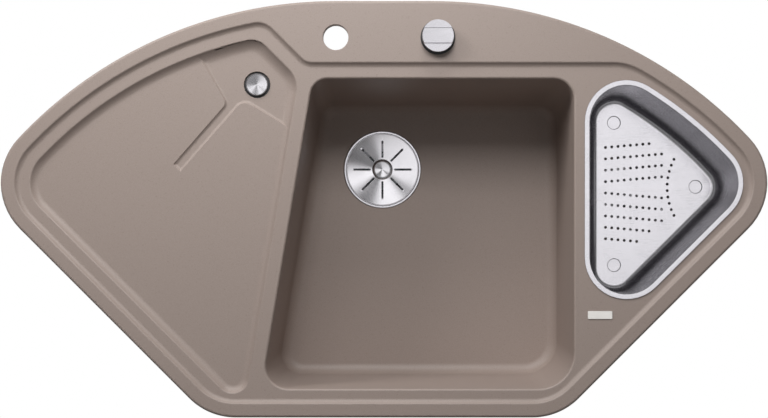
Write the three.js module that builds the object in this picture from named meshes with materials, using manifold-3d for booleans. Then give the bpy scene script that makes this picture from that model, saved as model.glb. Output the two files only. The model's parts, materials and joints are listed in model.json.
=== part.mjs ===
// Corner kitchen sink of composite stone with a drainer, a main bowl, a small corner bowl with
// a steel colander, a rotary remote control and its waste fittings.
// Millimetres, +Z up. Y runs from the front edge to the back edge. The origin lies on the
// worktop, under the middle of the front rim.
import * as THREE from 'three';
import { mergeGeometries, mergeVertices } from 'three/addons/utils/BufferGeometryUtils.js';
import Module from 'manifold-3d';

const wasm = await Module();
wasm.setup();

// Outline of the rim
const DEPTH = 575; // front edge to back edge
const FRONT_HALF = 242.4; // centre line to the foot of the diagonal edge
const BACK_HALF = 67.8; // centre line to the end of the straight back edge
const BACK_ARC_R = 599;
const FRONT_CORNER_R = 90;
const SIDE_CORNER_R = 90;
const RIM_TOP = 8; // height of the rim over the worktop
const RIM_ROUND = 4;
const SEAT_WIDTH = 20; // how far the rim lies on the worktop
const WALL = 9;

// Levels and steps of the top
const RIM_STEP_INSET = 18; // rim edge to the start of the first step
const RIM_STEP_DROP = 4.4;
const STEP_SLOPE = 54; // degrees, steepest part of a step
const STEP_EDGE_R = 3.2; // round upper edge of a step; its hollow foot takes the rest of the drop
const LEDGE_DEPTH = 83.5; // back edge to the front of the tap ledge
const LEDGE_R = 80;
const NOTCH_X = -107; // left end of the ledge's front, where it turns to the back
const NOTCH_R = 20;
const NOTCH_TIP_R = 30;
const POCKET_INSET = 26; // hollow under the tap ledge
const POCKET_R = 10;
const LEDGE_THICKNESS = 12;

// Drainer
const DRAINER_INSET = 39;
const DRAINER_DROP = 6.5;
const DRAINER_RIGHT_X = -144.5; // right edge of the drainer, measured at DRAINER_RIGHT_Y
const DRAINER_RIGHT_Y = 300;
const SLANT = 0.166; // sideways run of the slanted edges for each millimetre of depth
const DRAINER_NOTCH_GAP = 23; // from the ledge's notch to the drainer's top right edge
const DRAINER_NOTCH_R = 40;
const DRAINER_TIP_R = 30;
const DRAINER_SIDE_R = 50;
const DRAINER_FRONT_R = 24;
const GUTTER_DROP = 2.5;
const GUTTER_EDGE_R = 1.2;
const GUTTER_WIDTH = 15.3;
const GUTTER_BEND_X = -219.5; // bend of the gutter's upper edge
const GUTTER_BEND_Y = 434.5;
const GUTTER_TAIL_X = -293.3; // lower end of the gutter
const GUTTER_TAIL_Y = 350;
const GUTTER_PEAK_X = -195.6; // bend of the gutter's lower edge
const GUTTER_BEND_R = 9;
const GUTTER_PEAK_R = 14;
const GUTTER_END_R = 2.5;
const GUTTER_UPPER_WAY = [0.494, -0.87]; // its upper edge beyond the bend
const GUTTER_LOWER_WAY = [0.86, -0.51]; // its lower edge beyond the bend

// Main bowl
const MAIN_DEPTH = 190; // rim top to bowl floor
const MAIN_FRONT_Y = 39.5;
const MAIN_REAR_GAP = 23.5; // tap ledge to the bowl's rear edge
const MAIN_RIGHT_X = 262.5;
const MAIN_LEFT_X = -98.3; // left edge at the rear
const MAIN_FRONT_LEFT_R = 32;
const MAIN_FRONT_RIGHT_R = 50;
const MAIN_REAR_RIGHT_R = 28;
const MAIN_REAR_LEFT_R = 24;
const MAIN_FLOOR_R = 16;
const MAIN_FRONT_DRAFT = 0.055;
const MAIN_REAR_DRAFT = 0.08;
const MAIN_SIDE_DRAFT = 0.03;
const BOWL_LIP_R = 3;
const MAIN_DRAIN_X = -5;
const MAIN_DRAIN_FROM_REAR = 111; // rear edge of the bowl to the drain

// Small bowl and colander
const SMALL_DEPTH = 130; // rim top to bowl floor
const SMALL_INSET = 33; // rim edge to the colander's flange
const SMALL_LEFT_X = 276.8; // left edge of the colander's flange
const SMALL_TIP_R = 57;
const SMALL_CORNER_R = 58;
const SMALL_SEAT = 5; // part of the flange that lies on the bowl's edge
const SMALL_FLOOR_R = 16;
const SMALL_DRAFT = 0.05;
const SMALL_CORNER_FALL = 0.18; // a corner's radius shrinks this much for each millimetre of depth
const COLANDER_DEPTH = 95;
const COLANDER_FLANGE = 7.5;
const COLANDER_SHEET = 1.2;
const COLANDER_FLOOR_R = 10;
const COLANDER_DRAFT = 0.11;
const COLANDER_LEFT_DRAFT = 0.137;
const COLANDER_FOOT_R = 9.9;
const COLANDER_FOOT_DROP = 2;
const COLANDER_FOOT_OUT = 10; // corner centre to foot centre
const FOOT_SINK = 0.1; // how far a foot's wall runs into the base
const HOLE_R = 2.1;
const HOLE_SIDES = 4;
const HOLE_PITCH = 9;
const HOLE_ROW_PITCH = 16.5;
const HOLE_ROWS = [8, 10, 10, 10, 10, 10, 10, 8, 6]; // holes in each row, from the back
const HOLE_ROW_RISE = 0.087; // the rows fan out from the middle
const HOLE_FIRST_GAP = 42.3; // colander's left edge to the first hole
const HOLE_ARC_R = 88; // curved row in front of the tip
const HOLE_ARC_GAP = 31; // tip's corner centre to the curved row
const HOLE_ARC_COUNT = 10;
const HOLE_ARC_STEP = 6.1; // degrees
const HOLE_EDGE_GAP = 6; // least distance of a hole to the rounded base edge

// Things in the ledge
const TAP_HOLE_X = -66.6;
const TAP_HOLE_R = 17.5;
const LEDGE_HOLES_FROM_BACK = 50.5;
const KNOB_X = 74.3;
const KNOB_R = 22;
const KNOB_HEIGHT = 13;
const KNOB_CUT_HALF = 10.8; // half of the raised grip on the knob's top
const KNOB_CUT_DROP = 1.2;
const KNOB_FOOT_EDGE = 0.6;
const KNOB_TOP_EDGE = 1;
const KNOB_RING_R = 23.9;
const KNOB_RING_HEIGHT = 2;
const KNOB_SHANK_R = 11;
const KNOB_SHANK_LENGTH = 40;
const SPINDLE_R = 4;
const KNOB_NUT_R = 18;
const KNOB_NUT_HEIGHT = 6;
const KNOB_WASHER_R = 22;
const WASHER_THICKNESS = 2;
const KNOB_DRUM_R = 12;
const KNOB_DRUM_HEIGHT = 6;
const KNOB_HOUSING_R = 18;
const KNOB_HOUSING_HEIGHT = 18;
const HOUSING_WALL = 2.5;

// Overflow
const OVERFLOW_X = -176.3;
const OVERFLOW_FROM_BACK = 114.3;
const OVERFLOW_HOLE_R = 18.2;
const OVERFLOW_CAP_R = 15.2;
const OVERFLOW_CAP_HEIGHT = 2;
const OVERFLOW_CAP_RISE = 1.8; // drainer to the cap's underside
const OVERFLOW_LEDGE_DEPTH = 4.5;
const OVERFLOW_THROAT_R = 14;
const OVERFLOW_PIPE_R = 11;
const OVERFLOW_FUNNEL_LENGTH = 48;
const OVERFLOW_FUNNEL_R = 27;
const OVERFLOW_FUNNEL_STRAIGHT = 18; // depth of the funnel's wide part
const OVERFLOW_FUNNEL_CONE = 12;
const OVERFLOW_HUB_R = 6;
const SPOKE_WIDTH = 3;
const OVERFLOW_HUB_DEPTH = 4; // top of the funnel to its hub
const OVERFLOW_HUB_HEIGHT = 10;
const OVERFLOW_SCREW_R = 3;
const OVERFLOW_SCREW_HEAD_R = 5.5;
const OVERFLOW_SCREW_HEAD_HEIGHT = 2.4;

// Badge plate
const BADGE_FROM_LEFT = 21.5; // colander's left edge to the badge's middle
const BADGE_FROM_CORNER = 79.6; // centre of the colander's front corner to the badge's middle
const BADGE_WIDTH = 34;
const BADGE_DEPTH = 11;
const BADGE_HEIGHT = 0.8;
const BADGE_R = 1.5;

// Drains: heights count from the bowl's floor
const DRAIN_HOLE_R = 45.3;
const DRAIN_RECESS = 3.2;
const FLANGE_R = 58;
const FLANGE_SIDE_GAP = 0.5;
const FLANGE_LIP = 3.6; // width of the raised outer lip
const CUP_R = 44.5;
const CUP_DEPTH = 37;
const SHEET = 1.5;
const CUP_OUTLET_R = 21;
const CUP_OUTLET_DEPTH = 47;
const SEAL_HEIGHT = 0.9;
const GASKET_HEIGHT = 2;
const LOCKNUT_R = 57;
const LOCKNUT_HEIGHT = 10;
const WASTE_R = 49;
const WASTE_TOP_DEPTH = 26;
const WASTE_SHOULDER_DEPTH = 68;
const WASTE_NECK_DEPTH = 83;
const WASTE_LENGTH = 94;
const STRAINER_R = 53.6;
const STRAINER_SHEET = 1.2;
const STRAINER_KNOB_R = 15.4;
const STRAINER_KNOB_RISE = 4.6;
const STEM_R = 4;
const STEM_LENGTH = 44;
const SLOT_COUNT = 8;
const STRAINER_DISH = 0.6; // the disc's middle lies this much under its edge
const SLOT_START_R = 17.4;
const SLOT_END_R = 46;
const SLOT_WIDTH = 3.2;
const PLUG_R = 28.5;

// Lifting gear under the main strainer
const CRANK_ARM = 20;
const CRANK_REST_ANGLE = 11.5; // degrees below level
const CRANK_DEPTH = 60; // bowl floor to the crank's axis
const CRANK_SHAFT_R = 3.5;
const CRANK_TIP_R = 3;
const CRANK_ARM_WIDTH = 6;
const CRANK_ARM_HEIGHT = 4;
const CRANK_TIP_LENGTH = 8;
const LIFT_PIN_R = 3;
const LIFT_GUIDE_R = 6.5;
const LIFT_GUIDE_DEPTH = 3; // top of the pin to its guide
const LIFT_GUIDE_HEIGHT = 4.5;
const LIFT_PORT_R = 8;
const LIFT_PORT_LENGTH = 16;
const LIFT_DRUM_R = 10;
const LIFT_DRUM_GROOVE = 1.2;
const LIFT_DRUM_WIDTH = 5;
const LIFT_BOX = 28;
const LIFT_BOX_DEPTH = 18;
const CABLE_R = 3;
const CABLE_SEAT = 3; // length of cable held in each housing
const CABLE_BEHIND = 32; // rear edge of the main bowl to the hanging cable
const CABLE_START_RUN = 12; // straight end at each housing
const CABLE_SIDE_RUN = 52; // how far the cable swings to the side of the knob
const CABLE_DROP = 46; // knob's housing to the first hanging point
const CABLE_SWING = 56; // how far it swings out before the lifting gear
const CABLE_RISE = 16; // height over the lifting gear where it turns level

// Waste pipes
const PIPE_R = 20;
const PIPE_WALL = 2.4;
const PIPE_BEND_R = 45;
const TEE_LENGTH = 64;
const TEE_BRANCH_DEPTH = 32; // top of the tee to its large branch
const TEE_OVERFLOW_DEPTH = 23;
const TEE_BRANCH_LENGTH = 50;
const TEE_OVERFLOW_LENGTH = 40;
const NUT_WALL = 5;
const NUT_HEIGHT = 20;
const NUT_LOBES = 9;
const TRAP_DROP = 84;
const TRAP_RISE = 50;
const TRAP_SPAN = 76;
const TRAP_STRAIGHT = 0.1; // straight run left between the trap's two bends
const TRAP_ARM_RISE = 40;
const TRAP_ARM_BEND_R = 32;
const TRAP_ARM_LENGTH = 112;

// Fixing clips under the rim
const CLIP_ARC_ANGLE = 52; // degrees
const CLIP_DIAGONAL_RUN = 200;
const CLIP_WIDTH = 18;
const CLIP_SHEET = 2;
const CLIP_DROP = 42;
const CLIP_REACH = 15;
const CLIP_SCREW_OUT = 10;
const CLIP_SCREW_R = 3;
const CLIP_SCREW_LENGTH = 28;
const CLIP_SCREW_HEAD_R = 5.5;
const CLIP_SCREW_HEAD_HEIGHT = 4;
const CLIP_PAD_R = 7;
const CLIP_PAD_HEIGHT = 2;
const WORKTOP_THICKNESS = 29; // where the screw's pad meets the worktop from below
const LUG_WIDTH = 30;
const LUG_DEPTH = 10;
const LUG_HEIGHT = 14;
const CLIP_TONGUE = 5.5;

// Clearances and fineness
const GAP = 0.3;
const OVERCUT = 4; // how far a cutting shape runs past the face that it opens
const SEGMENTS = 18;
const FINE_SEGMENTS = 24;
const SMALL_SEGMENTS = 10;
const PIPE_SIDES = 12;
const ARC_STEPS = 8;
const STEP_STEPS = 2; // facets of a step's hollow foot
const FILLET_STEPS = 3;
const BEND_STEPS = 4;

// Heights and places that follow
const LEVEL2 = RIM_TOP - RIM_STEP_DROP;
const DRAINER_Z = LEVEL2 - DRAINER_DROP;
const GUTTER_Z = DRAINER_Z - GUTTER_DROP;
const SLAB_BOTTOM = GUTTER_Z - WALL;
const MAIN_FLOOR_Z = RIM_TOP - MAIN_DEPTH;
const SMALL_FLOOR_Z = RIM_TOP - SMALL_DEPTH;
const LEDGE_FRONT_Y = DEPTH - LEDGE_DEPTH;
const LEDGE_UNDER_Z = RIM_TOP - LEDGE_THICKNESS;
const MAIN_REAR_Y = LEDGE_FRONT_Y - MAIN_REAR_GAP;
const MAIN_DRAIN_Y = MAIN_REAR_Y - MAIN_DRAIN_FROM_REAR;
const HOLES_Y = DEPTH - LEDGE_HOLES_FROM_BACK;
const OVERFLOW_Y = DEPTH - OVERFLOW_FROM_BACK;
const CRANK_TIP_DROP = CRANK_ARM * Math.sin(THREE.MathUtils.degToRad(CRANK_REST_ANGLE));
const CRANK_OUT = CRANK_ARM * Math.cos(THREE.MathUtils.degToRad(CRANK_REST_ANGLE));

// ---------------------------------------------------------------- outlines

// A straight side through a point. The inside of an outline lies on its left.
function line(x, y, dx, dy) {
  const length = Math.hypot(dx, dy);
  return { x, y, dx: dx / length, dy: dy / length };
}

// A round side, run through counter-clockwise.
function arc(x, y, radius) {
  return { x, y, radius };
}

function inset(side, distance) {
  if (side.radius !== undefined) {
    return arc(side.x, side.y, side.radius - distance);
  }
  return line(side.x - side.dy * distance, side.y + side.dx * distance, side.dx, side.dy);
}

// The point where one side ends on the next.
function meet(before, after) {
  if (before.radius === undefined && after.radius === undefined) {
    const cross = before.dx * after.dy - before.dy * after.dx;
    const t = ((after.x - before.x) * after.dy - (after.y - before.y) * after.dx) / cross;
    return new THREE.Vector2(before.x + t * before.dx, before.y + t * before.dy);
  }
  const leaving = before.radius === undefined;
  const straight = leaving ? before : after;
  const round = leaving ? after : before;
  const toX = straight.x - round.x;
  const toY = straight.y - round.y;
  const along = toX * straight.dx + toY * straight.dy;
  const reach = Math.sqrt(Math.max(along ** 2 - toX ** 2 - toY ** 2 + round.radius ** 2, 0));
  const t = -along + (leaving ? reach : -reach);
  return new THREE.Vector2(straight.x + t * straight.dx, straight.y + t * straight.dy);
}

function footOn(side, point) {
  if (side.radius !== undefined) {
    const centre = new THREE.Vector2(side.x, side.y);
    return point.clone().sub(centre).setLength(side.radius).add(centre);
  }
  const t = (point.x - side.x) * side.dx + (point.y - side.y) * side.dy;
  return new THREE.Vector2(side.x + t * side.dx, side.y + t * side.dy);
}

// Round corners between the sides: radii[i] joins side i to the next one. A negative radius
// rounds an inner corner.
function cornersOf(sides, radii) {
  return radii.map((radius, i) => {
    const before = sides[i];
    const after = sides[(i + 1) % sides.length];
    const centre = meet(inset(before, radius), inset(after, radius));
    return { radius, centre, start: footOn(before, centre), end: footOn(after, centre) };
  });
}

// Points along a round corner or side. A corner gets more of them the further it turns.
function sweep(centre, from, to, backwards, fixedSteps) {
  const startAngle = Math.atan2(from.y - centre.y, from.x - centre.x);
  let turn = Math.atan2(to.y - centre.y, to.x - centre.x) - startAngle;
  if (!backwards && turn < 0) turn += 2 * Math.PI;
  if (backwards && turn > 0) turn -= 2 * Math.PI;
  const radius = from.distanceTo(centre);
  const wide = Math.abs(turn) > Math.PI / 3;
  const steps = fixedSteps ?? (wide ? 5 : 3);
  const points = [];
  for (let k = 0; k <= steps; k += 1) {
    const angle = startAngle + (turn * k) / steps;
    const x = centre.x + radius * Math.cos(angle);
    const y = centre.y + radius * Math.sin(angle);
    points.push(new THREE.Vector2(x, y));
  }
  return points;
}

// A closed outline, counter-clockwise, with the same number of points at every inset.
function outline(sides, radii, distance = 0) {
  const moved = sides.map((side) => inset(side, distance));
  const rounded = radii.map((radius) => {
    if (radius === 0) return 0;
    return radius < 0 ? radius - distance : Math.max(radius - distance, 1);
  });
  const corners = cornersOf(moved, rounded);
  const points = [];
  corners.forEach((corner, i) => {
    if (corner.radius === 0) {
      points.push(corner.start);
    } else {
      points.push(...sweep(corner.centre, corner.start, corner.end, corner.radius < 0));
    }
    const side = moved[(i + 1) % moved.length];
    if (side.radius !== undefined) {
      const next = corners[(i + 1) % corners.length];
      const centre = new THREE.Vector2(side.x, side.y);
      points.push(...sweep(centre, corner.end, next.start, false, ARC_STEPS).slice(1, -1));
    }
  });
  return points;
}

// ---------------------------------------------------------------- solids

function weld(geometry) {
  geometry.deleteAttribute('normal');
  geometry.deleteAttribute('uv');
  const merged = mergeVertices(geometry, 1e-4);
  const index = [...merged.index.array];
  const kept = [];
  for (let i = 0; i < index.length; i += 3) {
    const [a, b, c] = index.slice(i, i + 3);
    if (a !== b && b !== c && c !== a) kept.push(a, b, c);
  }
  merged.setIndex(kept);
  return merged;
}

function solid(shape) {
  if (shape instanceof wasm.Manifold) return shape;
  const geometry = weld(shape);
  const vertProperties = new Float32Array(geometry.attributes.position.array);
  const triVerts = new Uint32Array(geometry.index.array);
  return new wasm.Manifold(new wasm.Mesh({ numProp: 3, vertProperties, triVerts }));
}

function join(...shapes) {
  return shapes.map(solid).reduce((whole, piece) => whole.add(piece));
}

function cut(shape, ...tools) {
  return tools.map(solid).reduce((rest, tool) => rest.subtract(tool), solid(shape));
}

function toGeometry(shape) {
  if (!(shape instanceof wasm.Manifold)) return shape;
  const mesh = shape.getMesh();
  const geometry = new THREE.BufferGeometry();
  geometry.setAttribute('position', new THREE.BufferAttribute(mesh.vertProperties, 3));
  geometry.setIndex(new THREE.BufferAttribute(mesh.triVerts, 1));
  geometry.computeVertexNormals();
  return geometry;
}

// A closed skin over rings of equal point count, from the lowest ring to the highest.
function loft(rings) {
  const count = rings[0].points.length;
  const position = rings.flatMap(({ points, z }) => points.flatMap((p) => [p.x, p.y, z]));
  const index = [];
  for (let ring = 0; ring < rings.length - 1; ring += 1) {
    for (let i = 0; i < count; i += 1) {
      const a = ring * count + i;
      const b = ring * count + ((i + 1) % count);
      index.push(a, b, b + count, a, b + count, a + count);
    }
  }
  const top = (rings.length - 1) * count;
  THREE.ShapeUtils.triangulateShape(rings[0].points, []).forEach(([a, b, c]) => index.push(c, b, a));
  THREE.ShapeUtils.triangulateShape(rings[rings.length - 1].points, [])
    .forEach(([a, b, c]) => index.push(top + a, top + b, top + c));
  const geometry = new THREE.BufferGeometry();
  geometry.setAttribute('position', new THREE.Float32BufferAttribute(position, 3));
  geometry.setIndex(index);
  return geometry;
}

// A body of revolution about Z. The profile lists [radius, height] and either starts and ends
// on the axis or is closed here.
function turned(profile, segments = SEGMENTS) {
  const points = profile.map(([radius, height]) => new THREE.Vector2(radius, height));
  const onAxis = points[0].x === 0 && points[points.length - 1].x === 0;
  if (THREE.ShapeUtils.area(points) < 0) points.reverse();
  if (!onAxis) points.push(points[0].clone());
  return new THREE.LatheGeometry(points, segments).rotateX(Math.PI / 2);
}

function rod(radius, low, high, segments = SEGMENTS) {
  const geometry = new THREE.CylinderGeometry(radius, radius, high - low, segments);
  return geometry.rotateX(Math.PI / 2).translate(0, 0, (low + high) / 2);
}

function ring(inner, outer, low, high, segments = SEGMENTS) {
  return turned([[inner, low], [outer, low], [outer, high], [inner, high]], segments);
}

function rodAlongX(radius, from, to, segments = SEGMENTS) {
  const geometry = new THREE.CylinderGeometry(radius, radius, to - from, segments);
  return geometry.rotateZ(Math.PI / 2).translate((from + to) / 2, 0, 0);
}

function rodAlongY(radius, from, to, segments = SEGMENTS) {
  const geometry = new THREE.CylinderGeometry(radius, radius, to - from, segments);
  return geometry.translate(0, (from + to) / 2, 0);
}

function block(x0, x1, y0, y1, z0, z1) {
  const geometry = new THREE.BoxGeometry(x1 - x0, y1 - y0, z1 - z0);
  return geometry.translate((x0 + x1) / 2, (y0 + y1) / 2, (z0 + z1) / 2);
}

function prism(points, low, high) {
  const shape = new THREE.Shape(points);
  const geometry = new THREE.ExtrudeGeometry(shape, { depth: high - low, bevelEnabled: false });
  return geometry.translate(0, 0, low);
}

// A bore's radius that clears a round bar, whichever way its corners face.
function boreAround(radius, segments) {
  return (radius + GAP) / Math.cos(Math.PI / segments);
}

// ---------------------------------------------------------------- pipes

// A pipe's centre line: straight runs joined by round bends, sampled only where it turns.
class PipeRoute extends THREE.Curve {
  constructor(corners, bendRadius) {
    super();
    this.stations = [];
    const firstRun = corners[1].clone().sub(corners[0]).normalize();
    this.stations.push({ point: corners[0], tangent: firstRun });
    for (let i = 1; i < corners.length - 1; i += 1) {
      this.addBend(corners[i - 1], corners[i], corners[i + 1], bendRadius);
    }
    const last = corners[corners.length - 1];
    const lastRun = last.clone().sub(corners[corners.length - 2]).normalize();
    this.stations.push({ point: last, tangent: lastRun });
  }

  addBend(before, corner, after, bendRadius) {
    const way = corner.clone().sub(before).normalize();
    const next = after.clone().sub(corner).normalize();
    const turn = way.angleTo(next);
    const axis = way.clone().cross(next).normalize();
    const start = corner.clone().addScaledVector(way, -bendRadius * Math.tan(turn / 2));
    const centre = start.clone().addScaledVector(axis.clone().cross(way), bendRadius);
    for (let k = 0; k <= BEND_STEPS; k += 1) {
      const angle = (turn * k) / BEND_STEPS;
      const spoke = start.clone().sub(centre).applyAxisAngle(axis, angle);
      this.stations.push({
        point: centre.clone().add(spoke),
        tangent: way.clone().applyAxisAngle(axis, angle),
      });
    }
  }

  stationAt(u) {
    return this.stations[Math.round(u * (this.stations.length - 1))];
  }

  getPointAt(u, target = new THREE.Vector3()) {
    return target.copy(this.stationAt(u).point);
  }

  getPoint(u, target) {
    return this.getPointAt(u, target);
  }

  getTangentAt(u, target = new THREE.Vector3()) {
    return target.copy(this.stationAt(u).tangent);
  }

  getTangent(u, target) {
    return this.getTangentAt(u, target);
  }
}

function tube(route, outer, inner) {
  const section = new THREE.Shape();
  section.absarc(0, 0, outer, 0, 2 * Math.PI);
  if (inner > 0) {
    const bore = new THREE.Path();
    bore.absarc(0, 0, inner, 0, 2 * Math.PI, true);
    section.holes.push(bore);
  }
  const steps = route.stations.length - 1;
  return new THREE.ExtrudeGeometry(section, { steps, extrudePath: route, curveSegments: PIPE_SIDES / 2 });
}

// A coupling nut with grip lobes, around a pipe joint at height zero.
function couplingNut(pipeRadius) {
  const inner = boreAround(pipeRadius, PIPE_SIDES);
  const outer = inner + NUT_WALL;
  const low = -NUT_HEIGHT / 2;
  const high = NUT_HEIGHT / 2;
  const points = [];
  for (let k = 0; k < NUT_LOBES * 2; k += 1) {
    const angle = (k * Math.PI) / NUT_LOBES;
    const radius = k % 2 === 0 ? outer : outer - NUT_WALL / 4;
    points.push(new THREE.Vector2(radius * Math.cos(angle), radius * Math.sin(angle)));
  }
  return cut(prism(points, low, high), rod(inner, low - OVERCUT, high + OVERCUT, PIPE_SIDES));
}

// ---------------------------------------------------------------- finishes

function finish(color, roughness, metalness) {
  return () => new THREE.MeshStandardMaterial({ color, roughness, metalness });
}

const stone = finish(0x978a7f, 0.75, 0);
const satinSteel = finish(0xc9c7c4, 0.32, 1);
const polishedSteel = finish(0xb9b9bb, 0.2, 1);
const zincSteel = finish(0x9a9c9e, 0.45, 1);
const blackPlastic = finish(0x2a2b2d, 0.5, 0);
const greyPlastic = finish(0x8d9093, 0.5, 0);
const whitePlastic = finish(0xe4e4e0, 0.45, 0);
const rubber = finish(0x222222, 0.85, 0);

const sink = new THREE.Group();
sink.position.y = -SEAT_WIDTH / 2;

function add(parent, name, shape, material) {
  const mesh = new THREE.Mesh(toGeometry(shape), material());
  mesh.name = name;
  parent.add(mesh);
  return mesh;
}

function station(x, y, z) {
  const place = new THREE.Group();
  place.position.set(x, y, z);
  sink.add(place);
  return place;
}

// ---------------------------------------------------------------- sink body

const BACK_ARC_Y = DEPTH - BACK_ARC_R;
const EDGE = {
  front: line(0, 0, 1, 0),
  rightDiagonal: line(FRONT_HALF, 0, 1, 1),
  rightArc: arc(BACK_HALF, BACK_ARC_Y, BACK_ARC_R),
  back: line(0, DEPTH, -1, 0),
  leftArc: arc(-BACK_HALF, BACK_ARC_Y, BACK_ARC_R),
  leftDiagonal: line(-FRONT_HALF, 0, 1, -1),
};
const EDGE_SIDES = Object.values(EDGE);
const EDGE_RADII = [FRONT_CORNER_R, SIDE_CORNER_R, 0, 0, SIDE_CORNER_R, FRONT_CORNER_R];

const SLOPE = THREE.MathUtils.degToRad(STEP_SLOPE);

function stepWidth(drop) {
  return drop / Math.tan(SLOPE / 2);
}

// A step down: a round upper edge, then a hollow foot that runs out level. It flares above.
function stepRings(sides, radii, top, bottom, edgeRadius, above) {
  const footRadius = (top - bottom) / (1 - Math.cos(SLOPE)) - edgeRadius;
  const width = stepWidth(top - bottom);
  const rings = [];
  for (let k = 0; k <= STEP_STEPS; k += 1) {
    const angle = (SLOPE * k) / STEP_STEPS;
    const z = bottom + footRadius * (1 - Math.cos(angle));
    rings.push({ z, points: outline(sides, radii, width - footRadius * Math.sin(angle)) });
  }
  rings.push({ z: top, points: outline(sides, radii) });
  rings.push({ z: top + above, points: outline(sides, radii, -above / Math.tan(SLOPE)) });
  return loft(rings);
}

// Rings of a bowl with drafted sides, a round lip and a round foot.
function bowl(sides, radii, drafts, top, floor, lipRadius, footRadius, above, cornerFall = 0) {
  const rings = [];
  const ringAt = (z, extra) => {
    const fall = Math.max(top - z, 0);
    const moved = sides.map((side, i) => inset(side, drafts[i] * fall + extra));
    const rounded = radii.map((radius) => Math.max(radius - cornerFall * fall - extra, 1));
    rings.push({ z, points: outline(moved, rounded) });
  };
  for (let k = FILLET_STEPS; k >= 0; k -= 1) {
    const angle = ((k / FILLET_STEPS) * Math.PI) / 2;
    ringAt(floor + footRadius * (1 - Math.sin(angle)), footRadius * (1 - Math.cos(angle)));
  }
  if (lipRadius > 0) {
    for (let k = 0; k <= FILLET_STEPS; k += 1) {
      const angle = ((k / FILLET_STEPS) * Math.PI) / 2;
      ringAt(top - lipRadius * (1 - Math.sin(angle)), -lipRadius * (1 - Math.cos(angle)));
    }
  }
  ringAt(top + above, -lipRadius);
  return loft(rings);
}

function mainBowlSides() {
  return [
    line(0, MAIN_FRONT_Y, 1, 0),
    line(MAIN_RIGHT_X, 0, 0, 1),
    line(0, MAIN_REAR_Y, -1, 0),
    line(MAIN_LEFT_X, MAIN_REAR_Y, -SLANT, -1),
  ];
}

const MAIN_RADII = [MAIN_FRONT_RIGHT_R, MAIN_REAR_RIGHT_R, MAIN_REAR_LEFT_R, MAIN_FRONT_LEFT_R];
const MAIN_DRAFTS = [MAIN_FRONT_DRAFT, MAIN_SIDE_DRAFT, MAIN_REAR_DRAFT, MAIN_SIDE_DRAFT];
const SMALL_SIDES = [
  inset(EDGE.rightDiagonal, SMALL_INSET),
  inset(EDGE.rightArc, SMALL_INSET),
  line(SMALL_LEFT_X, 0, 0, -1),
];
const SMALL_RADII = [SMALL_TIP_R, SMALL_CORNER_R, SMALL_CORNER_R];

function smallSidesInset(distance) {
  return SMALL_SIDES.map((side) => inset(side, distance));
}

function smallRadiiInset(distance) {
  return SMALL_RADII.map((radius) => radius - distance);
}

const SMALL_CORNERS = cornersOf(SMALL_SIDES, SMALL_RADII).map((corner) => corner.centre);
const SMALL_DRAIN = SMALL_CORNERS
  .reduce((sum, point) => sum.add(point), new THREE.Vector2())
  .divideScalar(SMALL_CORNERS.length);

function mainBowl(outside) {
  const wall = outside ? WALL : 0;
  const sides = mainBowlSides().map((side) => inset(side, -wall));
  const radii = MAIN_RADII.map((radius) => radius + wall);
  const lip = outside ? 0 : BOWL_LIP_R;
  const floor = MAIN_FLOOR_Z - wall;
  const above = outside ? -WALL : OVERCUT;
  return bowl(sides, radii, MAIN_DRAFTS, LEVEL2, floor, lip, MAIN_FLOOR_R + wall, above);
}

function smallBowl(outside) {
  const wall = outside ? WALL : 0;
  const sides = smallSidesInset(SMALL_SEAT - wall);
  const radii = smallRadiiInset(SMALL_SEAT - wall);
  const lip = outside ? 0 : 1;
  const floor = SMALL_FLOOR_Z - wall;
  const drafts = [SMALL_DRAFT, SMALL_DRAFT, SMALL_DRAFT];
  const above = outside ? -WALL : OVERCUT;
  const foot = SMALL_FLOOR_R + wall;
  return bowl(sides, radii, drafts, LEVEL2, floor, lip, foot, above, SMALL_CORNER_FALL);
}

function rimSlab() {
  const rings = [{ z: 0, points: outline(EDGE_SIDES, EDGE_RADII) }];
  for (let k = 0; k <= FILLET_STEPS; k += 1) {
    const angle = ((k / FILLET_STEPS) * Math.PI) / 2;
    const z = RIM_TOP - RIM_ROUND * (1 - Math.sin(angle));
    rings.push({ z, points: outline(EDGE_SIDES, EDGE_RADII, RIM_ROUND * (1 - Math.cos(angle))) });
  }
  const core = outline(EDGE_SIDES, EDGE_RADII, SEAT_WIDTH);
  return join(loft(rings), prism(core, SLAB_BOTTOM, RIM_TOP / 2));
}

// The lowered field inside the rim. It leaves the tap ledge at rim height.
function rimStep() {
  const sides = [
    inset(EDGE.front, RIM_STEP_INSET),
    inset(EDGE.rightDiagonal, RIM_STEP_INSET),
    inset(EDGE.rightArc, RIM_STEP_INSET),
    line(0, LEDGE_FRONT_Y, -1, 0),
    line(NOTCH_X, LEDGE_FRONT_Y, -1, 1),
    inset(EDGE.leftArc, RIM_STEP_INSET),
    inset(EDGE.leftDiagonal, RIM_STEP_INSET),
  ];
  const frontR = FRONT_CORNER_R - RIM_STEP_INSET;
  const sideR = SIDE_CORNER_R - RIM_STEP_INSET;
  const radii = [frontR, sideR, LEDGE_R, -NOTCH_R, NOTCH_TIP_R, sideR, frontR];
  return stepRings(sides, radii, RIM_TOP, LEVEL2, STEP_EDGE_R, OVERCUT);
}

const DRAINER_SIDES = [
  line(DRAINER_RIGHT_X, DRAINER_RIGHT_Y, SLANT, 1),
  inset(line(NOTCH_X, LEDGE_FRONT_Y, -1, 1), DRAINER_NOTCH_GAP),
  inset(EDGE.leftArc, DRAINER_INSET),
  inset(EDGE.leftDiagonal, DRAINER_INSET),
];
const DRAINER_RADII = [DRAINER_NOTCH_R, DRAINER_TIP_R, DRAINER_SIDE_R, DRAINER_FRONT_R];

function drainerStep(bottom = DRAINER_Z) {
  return stepRings(DRAINER_SIDES, DRAINER_RADII, LEVEL2, bottom, STEP_EDGE_R, OVERCUT);
}

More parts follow.
